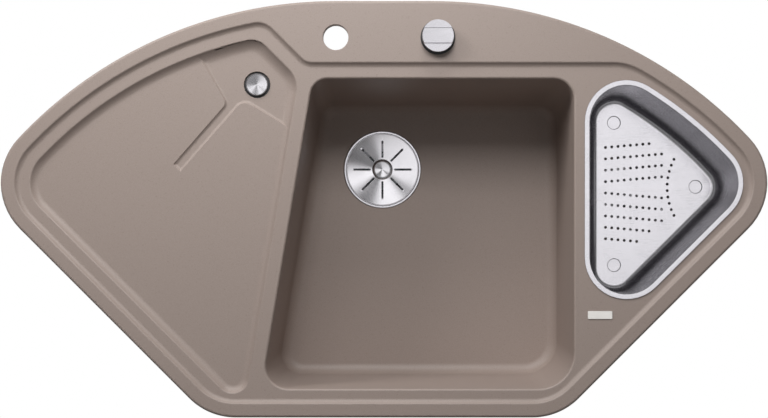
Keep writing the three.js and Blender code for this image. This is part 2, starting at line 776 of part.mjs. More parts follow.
// The low part of the drainer, which leads the water to the overflow, with its gutter.
function gutterStep() {
  const tailDx = GUTTER_BEND_X - GUTTER_TAIL_X;
  const tailDy = GUTTER_BEND_Y - GUTTER_TAIL_Y;
  const upper = line(GUTTER_TAIL_X, GUTTER_TAIL_Y, -tailDx, -tailDy);
  const lower = inset(line(GUTTER_TAIL_X, GUTTER_TAIL_Y, tailDx, tailDy), -GUTTER_WIDTH);
  const peakY = lower.y + ((GUTTER_PEAK_X - lower.x) * lower.dy) / lower.dx;
  const sides = [
    line(GUTTER_BEND_X, GUTTER_BEND_Y, ...GUTTER_UPPER_WAY),
    upper,
    line(GUTTER_TAIL_X, GUTTER_TAIL_Y, 1, -1),
    lower,
    line(GUTTER_PEAK_X, peakY, ...GUTTER_LOWER_WAY),
    line(DRAINER_RIGHT_X + DEPTH / 4, 0, 0, 1),
    line(0, DEPTH, -1, 0),
  ];
  const radii = [-GUTTER_BEND_R, GUTTER_END_R, GUTTER_END_R, -GUTTER_PEAK_R, 1, 1, 1];
  const rings = stepRings(sides, radii, DRAINER_Z, GUTTER_Z, GUTTER_EDGE_R, DRAINER_DROP + OVERCUT);
  return solid(rings).intersect(solid(drainerStep(GUTTER_Z)));
}

function ledgePocket() {
  const under = LEDGE_FRONT_Y + stepWidth(RIM_STEP_DROP);
  const sides = [
    line(0, under, 1, 0),
    inset(EDGE.rightArc, POCKET_INSET),
    inset(EDGE.back, POCKET_INSET),
    inset(EDGE.leftArc, POCKET_INSET),
    line(NOTCH_X + POCKET_INSET, under, 1, -1),
  ];
  return prism(outline(sides, [POCKET_R, 0, 0, POCKET_R, POCKET_R]), SLAB_BOTTOM - OVERCUT, LEDGE_UNDER_Z);
}

// Where the clips sit: a point on the core's edge and the way out of it.
function clipPlaces() {
  const angle = THREE.MathUtils.degToRad(CLIP_ARC_ANGLE);
  const arcR = BACK_ARC_R - SEAT_WIDTH;
  const arcX = BACK_HALF + arcR * Math.cos(angle);
  const arcY = BACK_ARC_Y + arcR * Math.sin(angle);
  const edge = inset(EDGE.rightDiagonal, SEAT_WIDTH);
  const diagonalX = edge.x + edge.dx * CLIP_DIAGONAL_RUN;
  const diagonalY = edge.y + edge.dy * CLIP_DIAGONAL_RUN;
  return [
    { name: 'left_back', x: -arcX, y: arcY, turn: Math.PI / 2 - angle },
    { name: 'right_back', x: arcX, y: arcY, turn: angle - Math.PI / 2 },
    { name: 'left_front', x: -diagonalX, y: diagonalY, turn: (3 * Math.PI) / 4 },
    { name: 'right_front', x: diagonalX, y: diagonalY, turn: (-3 * Math.PI) / 4 },
  ];
}

const TONGUE_TOP = SLAB_BOTTOM - LUG_HEIGHT / 2;

function clipLug({ x, y, turn }) {
  const half = LUG_WIDTH / 2;
  const lug = block(-half, half, -LUG_DEPTH, 0, SLAB_BOTTOM - LUG_HEIGHT, SLAB_BOTTOM + WALL / 2);
  return lug.rotateZ(turn).translate(x, y, 0);
}

function clipSlot({ x, y, turn }) {
  const half = CLIP_WIDTH / 2 + GAP;
  const low = TONGUE_TOP - CLIP_SHEET - GAP;
  const slot = block(-half, half, -CLIP_TONGUE - GAP, OVERCUT, low, TONGUE_TOP + GAP);
  return slot.rotateZ(turn).translate(x, y, 0);
}

function drainHole(x, y, floor) {
  const hole = rod(DRAIN_HOLE_R, floor - WALL - OVERCUT, floor + OVERCUT, FINE_SEGMENTS);
  const recess = rod(FLANGE_R + FLANGE_SIDE_GAP, floor - DRAIN_RECESS, floor + OVERCUT, FINE_SEGMENTS);
  return join(hole, recess).translate([x, y, 0]);
}

function sinkBody() {
  const places = clipPlaces();
  const shell = join(rimSlab(), mainBowl(true), smallBowl(true), ...places.map(clipLug));
  const ledge = RIM_TOP + OVERCUT;
  const tapHole = rod(TAP_HOLE_R, SLAB_BOTTOM - OVERCUT, ledge).translate(TAP_HOLE_X, HOLES_Y, 0);
  const knobHole = rod(TAP_HOLE_R, SLAB_BOTTOM - OVERCUT, ledge).translate(KNOB_X, HOLES_Y, 0);
  const overflow = join(
    rod(OVERFLOW_HOLE_R, GUTTER_Z - OVERFLOW_LEDGE_DEPTH, GUTTER_Z + OVERCUT),
    rod(OVERFLOW_THROAT_R, SLAB_BOTTOM - OVERCUT, GUTTER_Z + OVERCUT),
  ).translate([OVERFLOW_X, OVERFLOW_Y, 0]);
  return cut(
    shell,
    rimStep(),
    drainerStep(),
    gutterStep(),
    mainBowl(false),
    smallBowl(false),
    ledgePocket(),
    tapHole,
    knobHole,
    overflow,
    drainHole(MAIN_DRAIN_X, MAIN_DRAIN_Y, MAIN_FLOOR_Z),
    drainHole(SMALL_DRAIN.x, SMALL_DRAIN.y, SMALL_FLOOR_Z),
    ...places.map(clipSlot),
  );
}

add(sink, 'sink_body', sinkBody(), stone);

// ---------------------------------------------------------------- badge plate

function badgePlate() {
  const halfX = BADGE_WIDTH / 2;
  const halfY = BADGE_DEPTH / 2;
  const sides = [
    line(0, -halfY, 1, 0),
    line(halfX, 0, 0, 1),
    line(0, halfY, -1, 0),
    line(-halfX, 0, 0, -1),
  ];
  return prism(outline(sides, [BADGE_R, BADGE_R, BADGE_R, BADGE_R]), 0, BADGE_HEIGHT);
}

const badgeX = SMALL_LEFT_X + BADGE_FROM_LEFT;
const badgeY = SMALL_CORNERS[2].y - BADGE_FROM_CORNER;
add(station(badgeX, badgeY, LEVEL2 + GAP), 'badge_plate', badgePlate(), satinSteel);

// ---------------------------------------------------------------- fixing clips

function clipBracket() {
  const leg = GAP + CLIP_SHEET;
  const profile = [
    [-CLIP_TONGUE, TONGUE_TOP],
    [-CLIP_TONGUE, TONGUE_TOP - CLIP_SHEET],
    [GAP, TONGUE_TOP - CLIP_SHEET],
    [GAP, -CLIP_DROP],
    [CLIP_REACH, -CLIP_DROP],
    [CLIP_REACH, -CLIP_DROP + CLIP_SHEET],
    [leg, -CLIP_DROP + CLIP_SHEET],
    [leg, TONGUE_TOP],
  ].map(([out, height]) => new THREE.Vector2(out, height));
  const strip = prism(profile, -CLIP_WIDTH / 2, CLIP_WIDTH / 2);
  strip.rotateX(Math.PI / 2).rotateZ(Math.PI / 2);
  const holeR = boreAround(CLIP_SCREW_R, SMALL_SEGMENTS);
  const hole = rod(holeR, -CLIP_DROP - OVERCUT, -CLIP_DROP + CLIP_SHEET + OVERCUT, SMALL_SEGMENTS);
  return cut(strip, hole.translate(0, CLIP_SCREW_OUT, 0));
}

function clipScrew() {
  const pad = -WORKTOP_THICKNESS;
  const foot = pad - CLIP_SCREW_LENGTH;
  const profile = [
    [0, foot],
    [CLIP_SCREW_HEAD_R, foot],
    [CLIP_SCREW_HEAD_R, foot + CLIP_SCREW_HEAD_HEIGHT],
    [CLIP_SCREW_R, foot + CLIP_SCREW_HEAD_HEIGHT],
    [CLIP_SCREW_R, pad - CLIP_PAD_HEIGHT],
    [CLIP_PAD_R, pad - CLIP_PAD_HEIGHT],
    [CLIP_PAD_R, pad],
    [0, pad],
  ];
  return turned(profile, SMALL_SEGMENTS);
}

clipPlaces().forEach(({ name, x, y, turn }) => {
  const place = station(x, y, 0);
  place.rotation.z = turn;
  add(place, `clip_${name}`, clipBracket(), zincSteel);
  add(place, `clip_screw_${name}`, clipScrew(), zincSteel).position.y = CLIP_SCREW_OUT;
});

// ---------------------------------------------------------------- rotary control

const knobPlace = station(KNOB_X, HOLES_Y, RIM_TOP);
const SHANK_END = -KNOB_SHANK_LENGTH;
const WASHER_TOP = -LEDGE_THICKNESS - GAP;
const NUT_TOP = WASHER_TOP - WASHER_THICKNESS - GAP;
const HOUSING_TOP = SHANK_END + HOUSING_WALL + 2;
const HOUSING_END = HOUSING_TOP - KNOB_HOUSING_HEIGHT;
const DRUM_TOP = SHANK_END - 2;
const KNOB_BOTTOM = KNOB_RING_HEIGHT + 2 * GAP;
const KNOB_TOP = KNOB_BOTTOM + KNOB_HEIGHT;
const SPINDLE_TOP = KNOB_BOTTOM + KNOB_HEIGHT / 2;

function knobCap() {
  const body = turned([
    [0, KNOB_BOTTOM],
    [KNOB_R - KNOB_FOOT_EDGE, KNOB_BOTTOM],
    [KNOB_R, KNOB_BOTTOM + KNOB_FOOT_EDGE],
    [KNOB_R, KNOB_TOP - KNOB_TOP_EDGE],
    [KNOB_R - KNOB_TOP_EDGE, KNOB_TOP],
    [0, KNOB_TOP],
  ], FINE_SEGMENTS);
  const low = KNOB_TOP - KNOB_CUT_DROP;
  const side = (from, to) => block(-KNOB_R, KNOB_R, from, to, low, KNOB_TOP + OVERCUT);
  return cut(
    body,
    side(KNOB_CUT_HALF, KNOB_R + OVERCUT),
    side(-KNOB_R - OVERCUT, -KNOB_CUT_HALF),
    rod(SPINDLE_R + GAP, KNOB_BOTTOM - OVERCUT, SPINDLE_TOP + GAP),
  );
}

function knobBaseRing() {
  const bore = SPINDLE_R + GAP;
  const top = KNOB_RING_HEIGHT + GAP;
  return turned([
    [bore, SHANK_END],
    [KNOB_SHANK_R, SHANK_END],
    [KNOB_SHANK_R, GAP],
    [KNOB_RING_R, GAP],
    [KNOB_RING_R, top - 0.6],
    [KNOB_RING_R - 0.6, top],
    [bore, top],
  ], FINE_SEGMENTS);
}

function knobNut() {
  const points = [];
  for (let k = 0; k < 6; k += 1) {
    const angle = (k * Math.PI) / 3;
    points.push(new THREE.Vector2(KNOB_NUT_R * Math.cos(angle), KNOB_NUT_R * Math.sin(angle)));
  }
  const low = NUT_TOP - KNOB_NUT_HEIGHT;
  return cut(prism(points, low, NUT_TOP), rod(KNOB_SHANK_R + GAP, low - OVERCUT, NUT_TOP + OVERCUT));
}

const KNOB_PORT_X = -KNOB_HOUSING_R - 2;
const KNOB_PORT_Z = DRUM_TOP - KNOB_DRUM_HEIGHT / 2;

function knobHousing() {
  const inner = KNOB_HOUSING_R - HOUSING_WALL;
  const shell = turned([
    [KNOB_SHANK_R + GAP, HOUSING_TOP],
    [KNOB_SHANK_R + GAP, HOUSING_TOP - HOUSING_WALL],
    [inner, HOUSING_TOP - HOUSING_WALL],
    [inner, HOUSING_END],
    [KNOB_HOUSING_R, HOUSING_END],
    [KNOB_HOUSING_R, HOUSING_TOP],
  ]);
  const portR = CABLE_R + HOUSING_WALL;
  const port = rodAlongX(portR, KNOB_PORT_X, 0).translate(0, -KNOB_DRUM_R, KNOB_PORT_Z);
  const bore = rodAlongX(CABLE_R + GAP, KNOB_PORT_X - OVERCUT, 0).translate(0, -KNOB_DRUM_R, KNOB_PORT_Z);
  const hollow = rod(inner, HOUSING_END - OVERCUT, HOUSING_TOP - HOUSING_WALL);
  return cut(join(shell, port), hollow, bore);
}

function knobSpindle() {
  return turned([
    [0, DRUM_TOP - KNOB_DRUM_HEIGHT],
    [KNOB_DRUM_R, DRUM_TOP - KNOB_DRUM_HEIGHT],
    [KNOB_DRUM_R - 1.5, DRUM_TOP - KNOB_DRUM_HEIGHT / 2],
    [KNOB_DRUM_R, DRUM_TOP],
    [SPINDLE_R, DRUM_TOP],
    [SPINDLE_R, SPINDLE_TOP],
    [0, SPINDLE_TOP],
  ]);
}

add(knobPlace, 'knob_cap', knobCap(), satinSteel);
add(knobPlace, 'knob_base_ring', knobBaseRing(), blackPlastic);
add(knobPlace, 'knob_spindle', knobSpindle(), zincSteel);
add(
  knobPlace,
  'knob_washer',
  ring(KNOB_SHANK_R + GAP, KNOB_WASHER_R, WASHER_TOP - WASHER_THICKNESS, WASHER_TOP),
  rubber,
);
add(knobPlace, 'knob_nut', knobNut(), zincSteel);
add(knobPlace, 'knob_housing', knobHousing(), blackPlastic);
add(
  knobPlace,
  'knob_housing_cover',
  rod(KNOB_HOUSING_R, HOUSING_END - HOUSING_WALL - GAP, HOUSING_END - GAP),
  blackPlastic,
);

// ---------------------------------------------------------------- drainer overflow

const overflowPlace = station(OVERFLOW_X, OVERFLOW_Y, GUTTER_Z);
const GRATE_LOW = -OVERFLOW_LEDGE_DEPTH + GAP;
const GRATE_HIGH = GRATE_LOW + SHEET;
const THROAT_END = SLAB_BOTTOM - GUTTER_Z;
const FUNNEL_TOP = THROAT_END - WASHER_THICKNESS - 2 * GAP;
const FUNNEL_END = FUNNEL_TOP - OVERFLOW_FUNNEL_LENGTH;

// Three spokes that carry a small hub in the middle of a round passage.
function spokedHub(boreRadius, hubRadius, reach, low, high) {
  const half = SPOKE_WIDTH / 2;
  const spokes = [0, 1, 2].map((k) => block(0, reach, -half, half, low, high).rotateZ((k * 2 * Math.PI) / 3));
  return cut(join(rod(hubRadius, low, high), ...spokes), rod(boreRadius, low - OVERCUT, high + OVERCUT));
}

function overflowGrate() {
  const rim = ring(OVERFLOW_THROAT_R - 1, OVERFLOW_HOLE_R - GAP, GRATE_LOW, GRATE_HIGH);
  const bore = OVERFLOW_SCREW_R + GAP;
  return join(rim, spokedHub(bore, OVERFLOW_HUB_R, OVERFLOW_THROAT_R, GRATE_LOW, GRATE_HIGH));
}

function overflowCap() {
  const low = OVERFLOW_CAP_RISE;
  const high = low + OVERFLOW_CAP_HEIGHT;
  const sleeve = OVERFLOW_SCREW_HEAD_R + 0.5;
  return turned([
    [0, high],
    [OVERFLOW_CAP_R - 1, high],
    [OVERFLOW_CAP_R, high - 0.6],
    [OVERFLOW_CAP_R, low],
    [sleeve + SHEET, low],
    [sleeve + SHEET, GRATE_HIGH + GAP],
    [sleeve, GRATE_HIGH + GAP],
    [sleeve, low + GAP],
    [0, low + GAP],
  ], FINE_SEGMENTS);
}

function overflowScrew() {
  const head = GRATE_HIGH + GAP;
  const foot = FUNNEL_TOP - OVERFLOW_HUB_DEPTH - OVERFLOW_HUB_HEIGHT - 2;
  return turned([
    [0, foot],
    [OVERFLOW_SCREW_R, foot],
    [OVERFLOW_SCREW_R, head],
    [OVERFLOW_SCREW_HEAD_R, head],
    [OVERFLOW_SCREW_HEAD_R, head + OVERFLOW_SCREW_HEAD_HEIGHT],
    [0, head + OVERFLOW_SCREW_HEAD_HEIGHT],
  ], SMALL_SEGMENTS);
}

function overflowFunnel() {
  const inner = OVERFLOW_THROAT_R + 0.5;
  const outer = inner + PIPE_WALL;
  const bore = OVERFLOW_PIPE_R - PIPE_WALL / 2;
  const coneTop = FUNNEL_TOP - OVERFLOW_FUNNEL_STRAIGHT;
  const coneEnd = coneTop - OVERFLOW_FUNNEL_CONE;
  const flangeLow = FUNNEL_TOP - HOUSING_WALL;
  const shell = turned([
    [inner, FUNNEL_TOP],
    [inner, coneTop],
    [bore, coneEnd],
    [bore, FUNNEL_END],
    [OVERFLOW_PIPE_R, FUNNEL_END],
    [OVERFLOW_PIPE_R, coneEnd - 2],
    [outer, coneTop - 2],
    [outer, flangeLow],
    [OVERFLOW_FUNNEL_R, flangeLow],
    [OVERFLOW_FUNNEL_R, FUNNEL_TOP],
  ]);
  const hubTop = FUNNEL_TOP - OVERFLOW_HUB_DEPTH;
  const hubLow = hubTop - OVERFLOW_HUB_HEIGHT;
  return join(shell, spokedHub(OVERFLOW_SCREW_R + GAP, OVERFLOW_HUB_R, inner + 1, hubLow, hubTop));
}

add(overflowPlace, 'overflow_cap', overflowCap(), satinSteel);
add(overflowPlace, 'overflow_grate', overflowGrate(), blackPlastic);
add(overflowPlace, 'overflow_screw', overflowScrew(), zincSteel);
add(
  overflowPlace,
  'overflow_seal',
  ring(OVERFLOW_THROAT_R + 1, OVERFLOW_FUNNEL_R - 1, FUNNEL_TOP + GAP, THROAT_END - GAP),
  rubber,
);
add(overflowPlace, 'overflow_funnel', overflowFunnel(), blackPlastic);

// ---------------------------------------------------------------- drains

// Heights in this section count from the floor of the bowl.
const FLANGE_LOW = -DRAIN_RECESS + SEAL_HEIGHT + 2 * GAP;
const FLANGE_HIGH = FLANGE_LOW + SHEET + 0.6;
const LEDGE_HIGH = FLANGE_LOW + SHEET - 0.4;
const LIP_R = FLANGE_R - FLANGE_LIP;
const CUP_BORE = CUP_R - SHEET;

function drainCup() {
  const outletR = CUP_OUTLET_R + SHEET;
  return turned([
    [FLANGE_R, FLANGE_LOW],
    [FLANGE_R, FLANGE_HIGH],
    [LIP_R + 0.6, FLANGE_HIGH],
    [LIP_R, LEDGE_HIGH],
    [CUP_BORE, LEDGE_HIGH],
    [CUP_BORE, -CUP_DEPTH + 1],
    [CUP_OUTLET_R, -CUP_DEPTH - 4],
    [CUP_OUTLET_R, -CUP_OUTLET_DEPTH],
    [outletR, -CUP_OUTLET_DEPTH],
    [outletR, -CUP_DEPTH - 6.2],
    [CUP_R, -CUP_DEPTH - 0.2],
    [CUP_R, FLANGE_LOW],
  ], FINE_SEGMENTS);
}

const WASHER_LOW = -WALL - GASKET_HEIGHT - GAP;
const LOCKNUT_TOP = WASHER_LOW - GAP;

function locknut() {
  const points = [];
  for (let k = 0; k < NUT_LOBES * 2; k += 1) {
    const angle = (k * Math.PI) / NUT_LOBES;
    const radius = k % 2 === 0 ? LOCKNUT_R : LOCKNUT_R - 2;
    points.push(new THREE.Vector2(radius * Math.cos(angle), radius * Math.sin(angle)));
  }
  const low = LOCKNUT_TOP - LOCKNUT_HEIGHT;
  const bore = rod(CUP_R + GAP, low - OVERCUT, LOCKNUT_TOP + OVERCUT, FINE_SEGMENTS);
  return cut(prism(points, low, LOCKNUT_TOP), bore);
}

const WASTE_BORE = boreAround(CUP_R, SEGMENTS);

function wasteShell() {
  const bore = PIPE_R - PIPE_WALL;
  return turned([
    [WASTE_BORE, -WASTE_TOP_DEPTH],
    [WASTE_BORE, -WASTE_SHOULDER_DEPTH + 2],
    [bore, -WASTE_NECK_DEPTH + 3],
    [bore, -WASTE_LENGTH],
    [PIPE_R, -WASTE_LENGTH],
    [PIPE_R, -WASTE_NECK_DEPTH],
    [WASTE_R, -WASTE_SHOULDER_DEPTH],
    [WASTE_R, -WASTE_TOP_DEPTH],
  ]);
}

const STEM_END = -STEM_LENGTH;
const PIN_TOP = STEM_END - GAP;
const PIN_END = -CRANK_DEPTH - CRANK_TIP_DROP + CRANK_TIP_R + GAP;
const BOX_START = Math.sqrt(WASTE_R ** 2 - CRANK_OUT ** 2) + 4;

// The waste body of the main drain, with a guide for the lift pin and a port for the crank.
function mainWasteBody() {
  const guideTop = PIN_TOP - LIFT_GUIDE_DEPTH;
  const guideLow = guideTop - LIFT_GUIDE_HEIGHT;
  const guide = spokedHub(LIFT_PIN_R + GAP, LIFT_GUIDE_R, WASTE_BORE + 1, guideLow, guideTop);
  const port = rodAlongY(LIFT_PORT_R, BOX_START - LIFT_PORT_LENGTH, BOX_START)
    .translate(-CRANK_OUT, 0, -CRANK_DEPTH);
  const hollow = rod(WASTE_BORE, -WASTE_SHOULDER_DEPTH + 2, -WASTE_TOP_DEPTH);
  const shaft = rodAlongY(CRANK_SHAFT_R + GAP, 0, BOX_START + OVERCUT);
  const body = cut(join(wasteShell(), port), hollow, shaft.translate(-CRANK_OUT, 0, -CRANK_DEPTH));
  return join(body, guide);
}

const DISH_TOP = LEDGE_HIGH + GAP + STRAINER_SHEET;
const DISH_LOW = DISH_TOP - STRAINER_DISH;

function strainerDisc() {
  const under = LEDGE_HIGH + GAP;
  const disc = turned([
    [STEM_R + GAP, DISH_LOW],
    [SLOT_START_R - 1, DISH_LOW],
    [STRAINER_R, DISH_TOP],
    [STRAINER_R, under],
    [CUP_BORE - 0.5, under],
    [SLOT_START_R - 1, DISH_LOW - STRAINER_SHEET],
    [STEM_R + GAP, DISH_LOW - STRAINER_SHEET],
  ], FINE_SEGMENTS);
  const half = SLOT_WIDTH / 2;
  const slots = [];
  for (let k = 0; k < SLOT_COUNT; k += 1) {
    const slot = block(SLOT_START_R, SLOT_END_R, -half, half, DISH_LOW - OVERCUT, DISH_TOP + OVERCUT);
    slots.push(slot.rotateZ((k * 2 * Math.PI) / SLOT_COUNT));
  }
  return cut(disc, ...slots);
}

const KNOB_UNDER = DISH_LOW + GAP;

function strainerKnob() {
  const top = STRAINER_KNOB_RISE;
  return turned([
    [0, KNOB_UNDER],
    [STRAINER_KNOB_R, KNOB_UNDER],
    [STRAINER_KNOB_R, top - 2.2],
    [STRAINER_KNOB_R - 1.4, top - 0.6],
    [STRAINER_KNOB_R - 4.4, top],
    [0, top],
  ]);
}

const PLUG_TOP = -CUP_DEPTH + 2.6;
const PLUG_LOW = PLUG_TOP - SHEET;
const SEAL_IN_R = PLUG_R - 3.2;

function strainerStem() {
  return turned([
    [0, STEM_END],
    [STEM_R, STEM_END],
    [STEM_R, PLUG_LOW - 2.8],
    [SEAL_IN_R - GAP, PLUG_LOW - 2.8],
    [SEAL_IN_R - GAP, PLUG_LOW],
    [PLUG_R, PLUG_LOW],
    [PLUG_R, PLUG_TOP],
    [STEM_R, PLUG_TOP + 1.2],
    [STEM_R, DISH_LOW],
    [0, DISH_LOW],
  ]);
}

const PLUG_SEAL = ring(SEAL_IN_R, PLUG_R, PLUG_LOW - 3.1, PLUG_LOW - GAP);

function addDrain(place, prefix) {
  const flangeSeal = ring(DRAIN_HOLE_R, FLANGE_R - 1, -DRAIN_RECESS + GAP, FLANGE_LOW - GAP);
  const gasket = ring(DRAIN_HOLE_R, LOCKNUT_R, WASHER_LOW, -WALL - GAP);
  add(place, `${prefix}_drain_cup`, drainCup(), satinSteel);
  add(place, `${prefix}_flange_seal`, flangeSeal, rubber);
  add(place, `${prefix}_gasket`, gasket, rubber);
  add(place, `${prefix}_locknut`, locknut(), blackPlastic);
  add(place, `${prefix}_strainer_disc`, strainerDisc(), satinSteel);
  add(place, `${prefix}_strainer_knob`, strainerKnob(), satinSteel);
  add(place, `${prefix}_strainer_stem`, strainerStem(), zincSteel);
  add(place, `${prefix}_strainer_seal`, PLUG_SEAL.clone(), rubber);
}

const mainPlace = station(MAIN_DRAIN_X, MAIN_DRAIN_Y, MAIN_FLOOR_Z);
const smallPlace = station(SMALL_DRAIN.x, SMALL_DRAIN.y, SMALL_FLOOR_Z);
addDrain(mainPlace, 'main');
addDrain(smallPlace, 'small');
add(mainPlace, 'main_waste_body', mainWasteBody(), blackPlastic);
add(smallPlace, 'small_waste_body', wasteShell(), blackPlastic);

// ---------------------------------------------------------------- lifting gear

const DRUM_START = BOX_START + GAP + HOUSING_WALL + 2;
const BOX_END = BOX_START + GAP + LIFT_BOX_DEPTH;
const DRUM_MIDDLE = DRUM_START + LIFT_DRUM_WIDTH / 2;
const LIFT_WIRE_Z = LIFT_DRUM_R - 1;

function liftPin() {
  return rod(LIFT_PIN_R, PIN_END, PIN_TOP, SMALL_SEGMENTS);
}

// The crank turns about its shaft. Its arm points at the drain's middle, a little downwards.
function liftCrank() {
  const halfWidth = CRANK_ARM_WIDTH / 2;
  const halfHeight = CRANK_ARM_HEIGHT / 2;
  const halfTip = CRANK_TIP_LENGTH / 2;
  const shaft = rodAlongY(CRANK_SHAFT_R, -halfTip, DRUM_START + LIFT_DRUM_WIDTH);
  const arm = block(0, CRANK_ARM, -halfWidth, halfWidth, -halfHeight, halfHeight);
  const tip = rodAlongY(CRANK_TIP_R, -halfTip, halfTip, SMALL_SEGMENTS).translate(CRANK_ARM, 0, 0);
  const tilt = THREE.MathUtils.degToRad(CRANK_REST_ANGLE);
  return join(shaft, arm.rotateY(tilt), tip.rotateY(tilt));
}

function liftDrum() {
  const width = LIFT_DRUM_WIDTH;
  const wheel = turned([
    [CRANK_SHAFT_R + GAP, -width / 2],
    [LIFT_DRUM_R, -width / 2],
    [LIFT_DRUM_R - LIFT_DRUM_GROOVE, 0],
    [LIFT_DRUM_R, width / 2],
    [CRANK_SHAFT_R + GAP, width / 2],
  ]);
  return wheel.rotateX(Math.PI / 2).translate(0, DRUM_MIDDLE, 0);
}

function liftBox() {
  const half = LIFT_BOX / 2;
  const start = BOX_START + GAP;
  const inner = LIFT_DRUM_R + 1.5;
  return cut(
    block(-half, half, start, BOX_END, -half, half),
    rodAlongY(inner, start + HOUSING_WALL, BOX_END + OVERCUT),
    rodAlongY(CRANK_SHAFT_R + GAP, start - OVERCUT, BOX_END),
    rodAlongX(CABLE_R + GAP, 0, half + OVERCUT).translate(0, DRUM_MIDDLE, LIFT_WIRE_Z),
  );
}

const crankPlace = station(MAIN_DRAIN_X - CRANK_OUT, MAIN_DRAIN_Y, MAIN_FLOOR_Z - CRANK_DEPTH);
const BOX_HALF = LIFT_BOX / 2;
add(mainPlace, 'lift_pin', liftPin(), satinSteel);
add(crankPlace, 'lift_crank', liftCrank(), zincSteel);
add(crankPlace, 'lift_drum', liftDrum(), whitePlastic);
add(crankPlace, 'lift_housing', liftBox(), blackPlastic);
add(
  crankPlace,
  'lift_housing_cover',
  block(-BOX_HALF, BOX_HALF, BOX_END + GAP, BOX_END + GAP + HOUSING_WALL, -BOX_HALF, BOX_HALF),
  blackPlastic,
);

// ---------------------------------------------------------------- control cable

// The cable runs from the knob's housing down behind the main bowl to the lifting gear.
function controlCable() {
  const startX = KNOB_X + KNOB_PORT_X + CABLE_SEAT;
  const startY = HOLES_Y - KNOB_DRUM_R;
  const startZ = RIM_TOP + KNOB_PORT_Z;
  const endX = MAIN_DRAIN_X - CRANK_OUT + LIFT_BOX / 2 - CABLE_SEAT;
  const endY = MAIN_DRAIN_Y + DRUM_MIDDLE;
  const endZ = MAIN_FLOOR_Z - CRANK_DEPTH + LIFT_WIRE_Z;
  const behind = MAIN_REAR_Y + CABLE_BEHIND;
  const sideX = startX - CABLE_SIDE_RUN;
  const hangZ = startZ - CABLE_DROP;
  const turnZ = endZ + CABLE_RISE;
  const fall = hangZ - turnZ;
  const lead = CABLE_START_RUN;
  const slack = CABLE_SWING * 0.75;
  const route = new THREE.CatmullRomCurve3([
    new THREE.Vector3(startX, startY, startZ),
    new THREE.Vector3(startX - lead, startY, startZ),
    new THREE.Vector3(startX - lead * 3, startY - lead / 4, startZ - lead),
    new THREE.Vector3(sideX, behind + lead / 3, hangZ),
    new THREE.Vector3(sideX + lead / 2, behind, hangZ - fall * 0.4),
    new THREE.Vector3(sideX + lead * 2, behind, hangZ - fall * 0.75),
    new THREE.Vector3(startX - lead, behind - lead, turnZ),
    new THREE.Vector3(endX + CABLE_SWING, behind - slack, endZ + 1),
    new THREE.Vector3(endX + lead * 3, endY + lead * 0.7, endZ),
    new THREE.Vector3(endX + lead, endY, endZ),
    new THREE.Vector3(endX, endY, endZ),
  ], false, 'centripetal');
  const section = new THREE.Shape();
  section.absarc(0, 0, CABLE_R, 0, 2 * Math.PI);
  return new THREE.ExtrudeGeometry(section, { steps: 36, extrudePath: route, curveSegments: 3 });
}

add(sink, 'control_cable', controlCable(), blackPlastic);

// ---------------------------------------------------------------- pipes under the bowls

const TEE_TOP = MAIN_FLOOR_Z - WASTE_LENGTH - GAP;
const TEE_END = TEE_TOP - TEE_LENGTH;
const BRANCH_Z = TEE_TOP - TEE_BRANCH_DEPTH;
const OVERFLOW_BRANCH_Z = TEE_TOP - TEE_OVERFLOW_DEPTH;
const MAIN_AXIS = new THREE.Vector2(MAIN_DRAIN_X, MAIN_DRAIN_Y);
const BRANCH_WAY = SMALL_DRAIN.clone().sub(MAIN_AXIS).normalize();
const OVERFLOW_WAY = new THREE.Vector2(OVERFLOW_X, OVERFLOW_Y).sub(MAIN_AXIS).normalize();
const PIPE_BORE = PIPE_R - PIPE_WALL;
const OVERFLOW_BORE = OVERFLOW_PIPE_R - PIPE_WALL / 2;

function branch(radius, length, way, z) {
  const stub = rodAlongX(radius, 0, length, PIPE_SIDES);
  return stub.rotateZ(way.angle()).translate(MAIN_DRAIN_X, MAIN_DRAIN_Y, z);
}

function wasteTee() {
  const axis = (radius, past) => rod(radius, TEE_END - past, TEE_TOP + past, PIPE_SIDES)
    .translate(MAIN_DRAIN_X, MAIN_DRAIN_Y, 0);
  return cut(
    join(
      axis(PIPE_R, 0),
      branch(PIPE_R, TEE_BRANCH_LENGTH, BRANCH_WAY, BRANCH_Z),
      branch(OVERFLOW_PIPE_R, TEE_OVERFLOW_LENGTH, OVERFLOW_WAY, OVERFLOW_BRANCH_Z),
    ),
    axis(PIPE_BORE, OVERCUT),
    branch(PIPE_BORE, TEE_BRANCH_LENGTH + OVERCUT, BRANCH_WAY, BRANCH_Z),
    branch(OVERFLOW_BORE, TEE_OVERFLOW_LENGTH + OVERCUT, OVERFLOW_WAY, OVERFLOW_BRANCH_Z),
  );
}

function besideTee(length, way, z) {
  return new THREE.Vector3(MAIN_DRAIN_X + way.x * length, MAIN_DRAIN_Y + way.y * length, z);
}

function connectingPipe() {
  const top = SMALL_FLOOR_Z - WASTE_LENGTH - GAP;
  const route = new PipeRoute([
    new THREE.Vector3(SMALL_DRAIN.x, SMALL_DRAIN.y, top),
    new THREE.Vector3(SMALL_DRAIN.x, SMALL_DRAIN.y, BRANCH_Z),
    besideTee(TEE_BRANCH_LENGTH + GAP, BRANCH_WAY, BRANCH_Z),
  ], PIPE_BEND_R);
  return tube(route, PIPE_R, PIPE_BORE);
}

function overflowPipe() {
  const top = GUTTER_Z + FUNNEL_END - GAP;
  const route = new PipeRoute([
    new THREE.Vector3(OVERFLOW_X, OVERFLOW_Y, top),
    new THREE.Vector3(OVERFLOW_X, OVERFLOW_Y, OVERFLOW_BRANCH_Z),
    besideTee(TEE_OVERFLOW_LENGTH + GAP, OVERFLOW_WAY, OVERFLOW_BRANCH_Z),
  ], PIPE_BEND_R);
  return tube(route, OVERFLOW_PIPE_R, OVERFLOW_BORE);
}

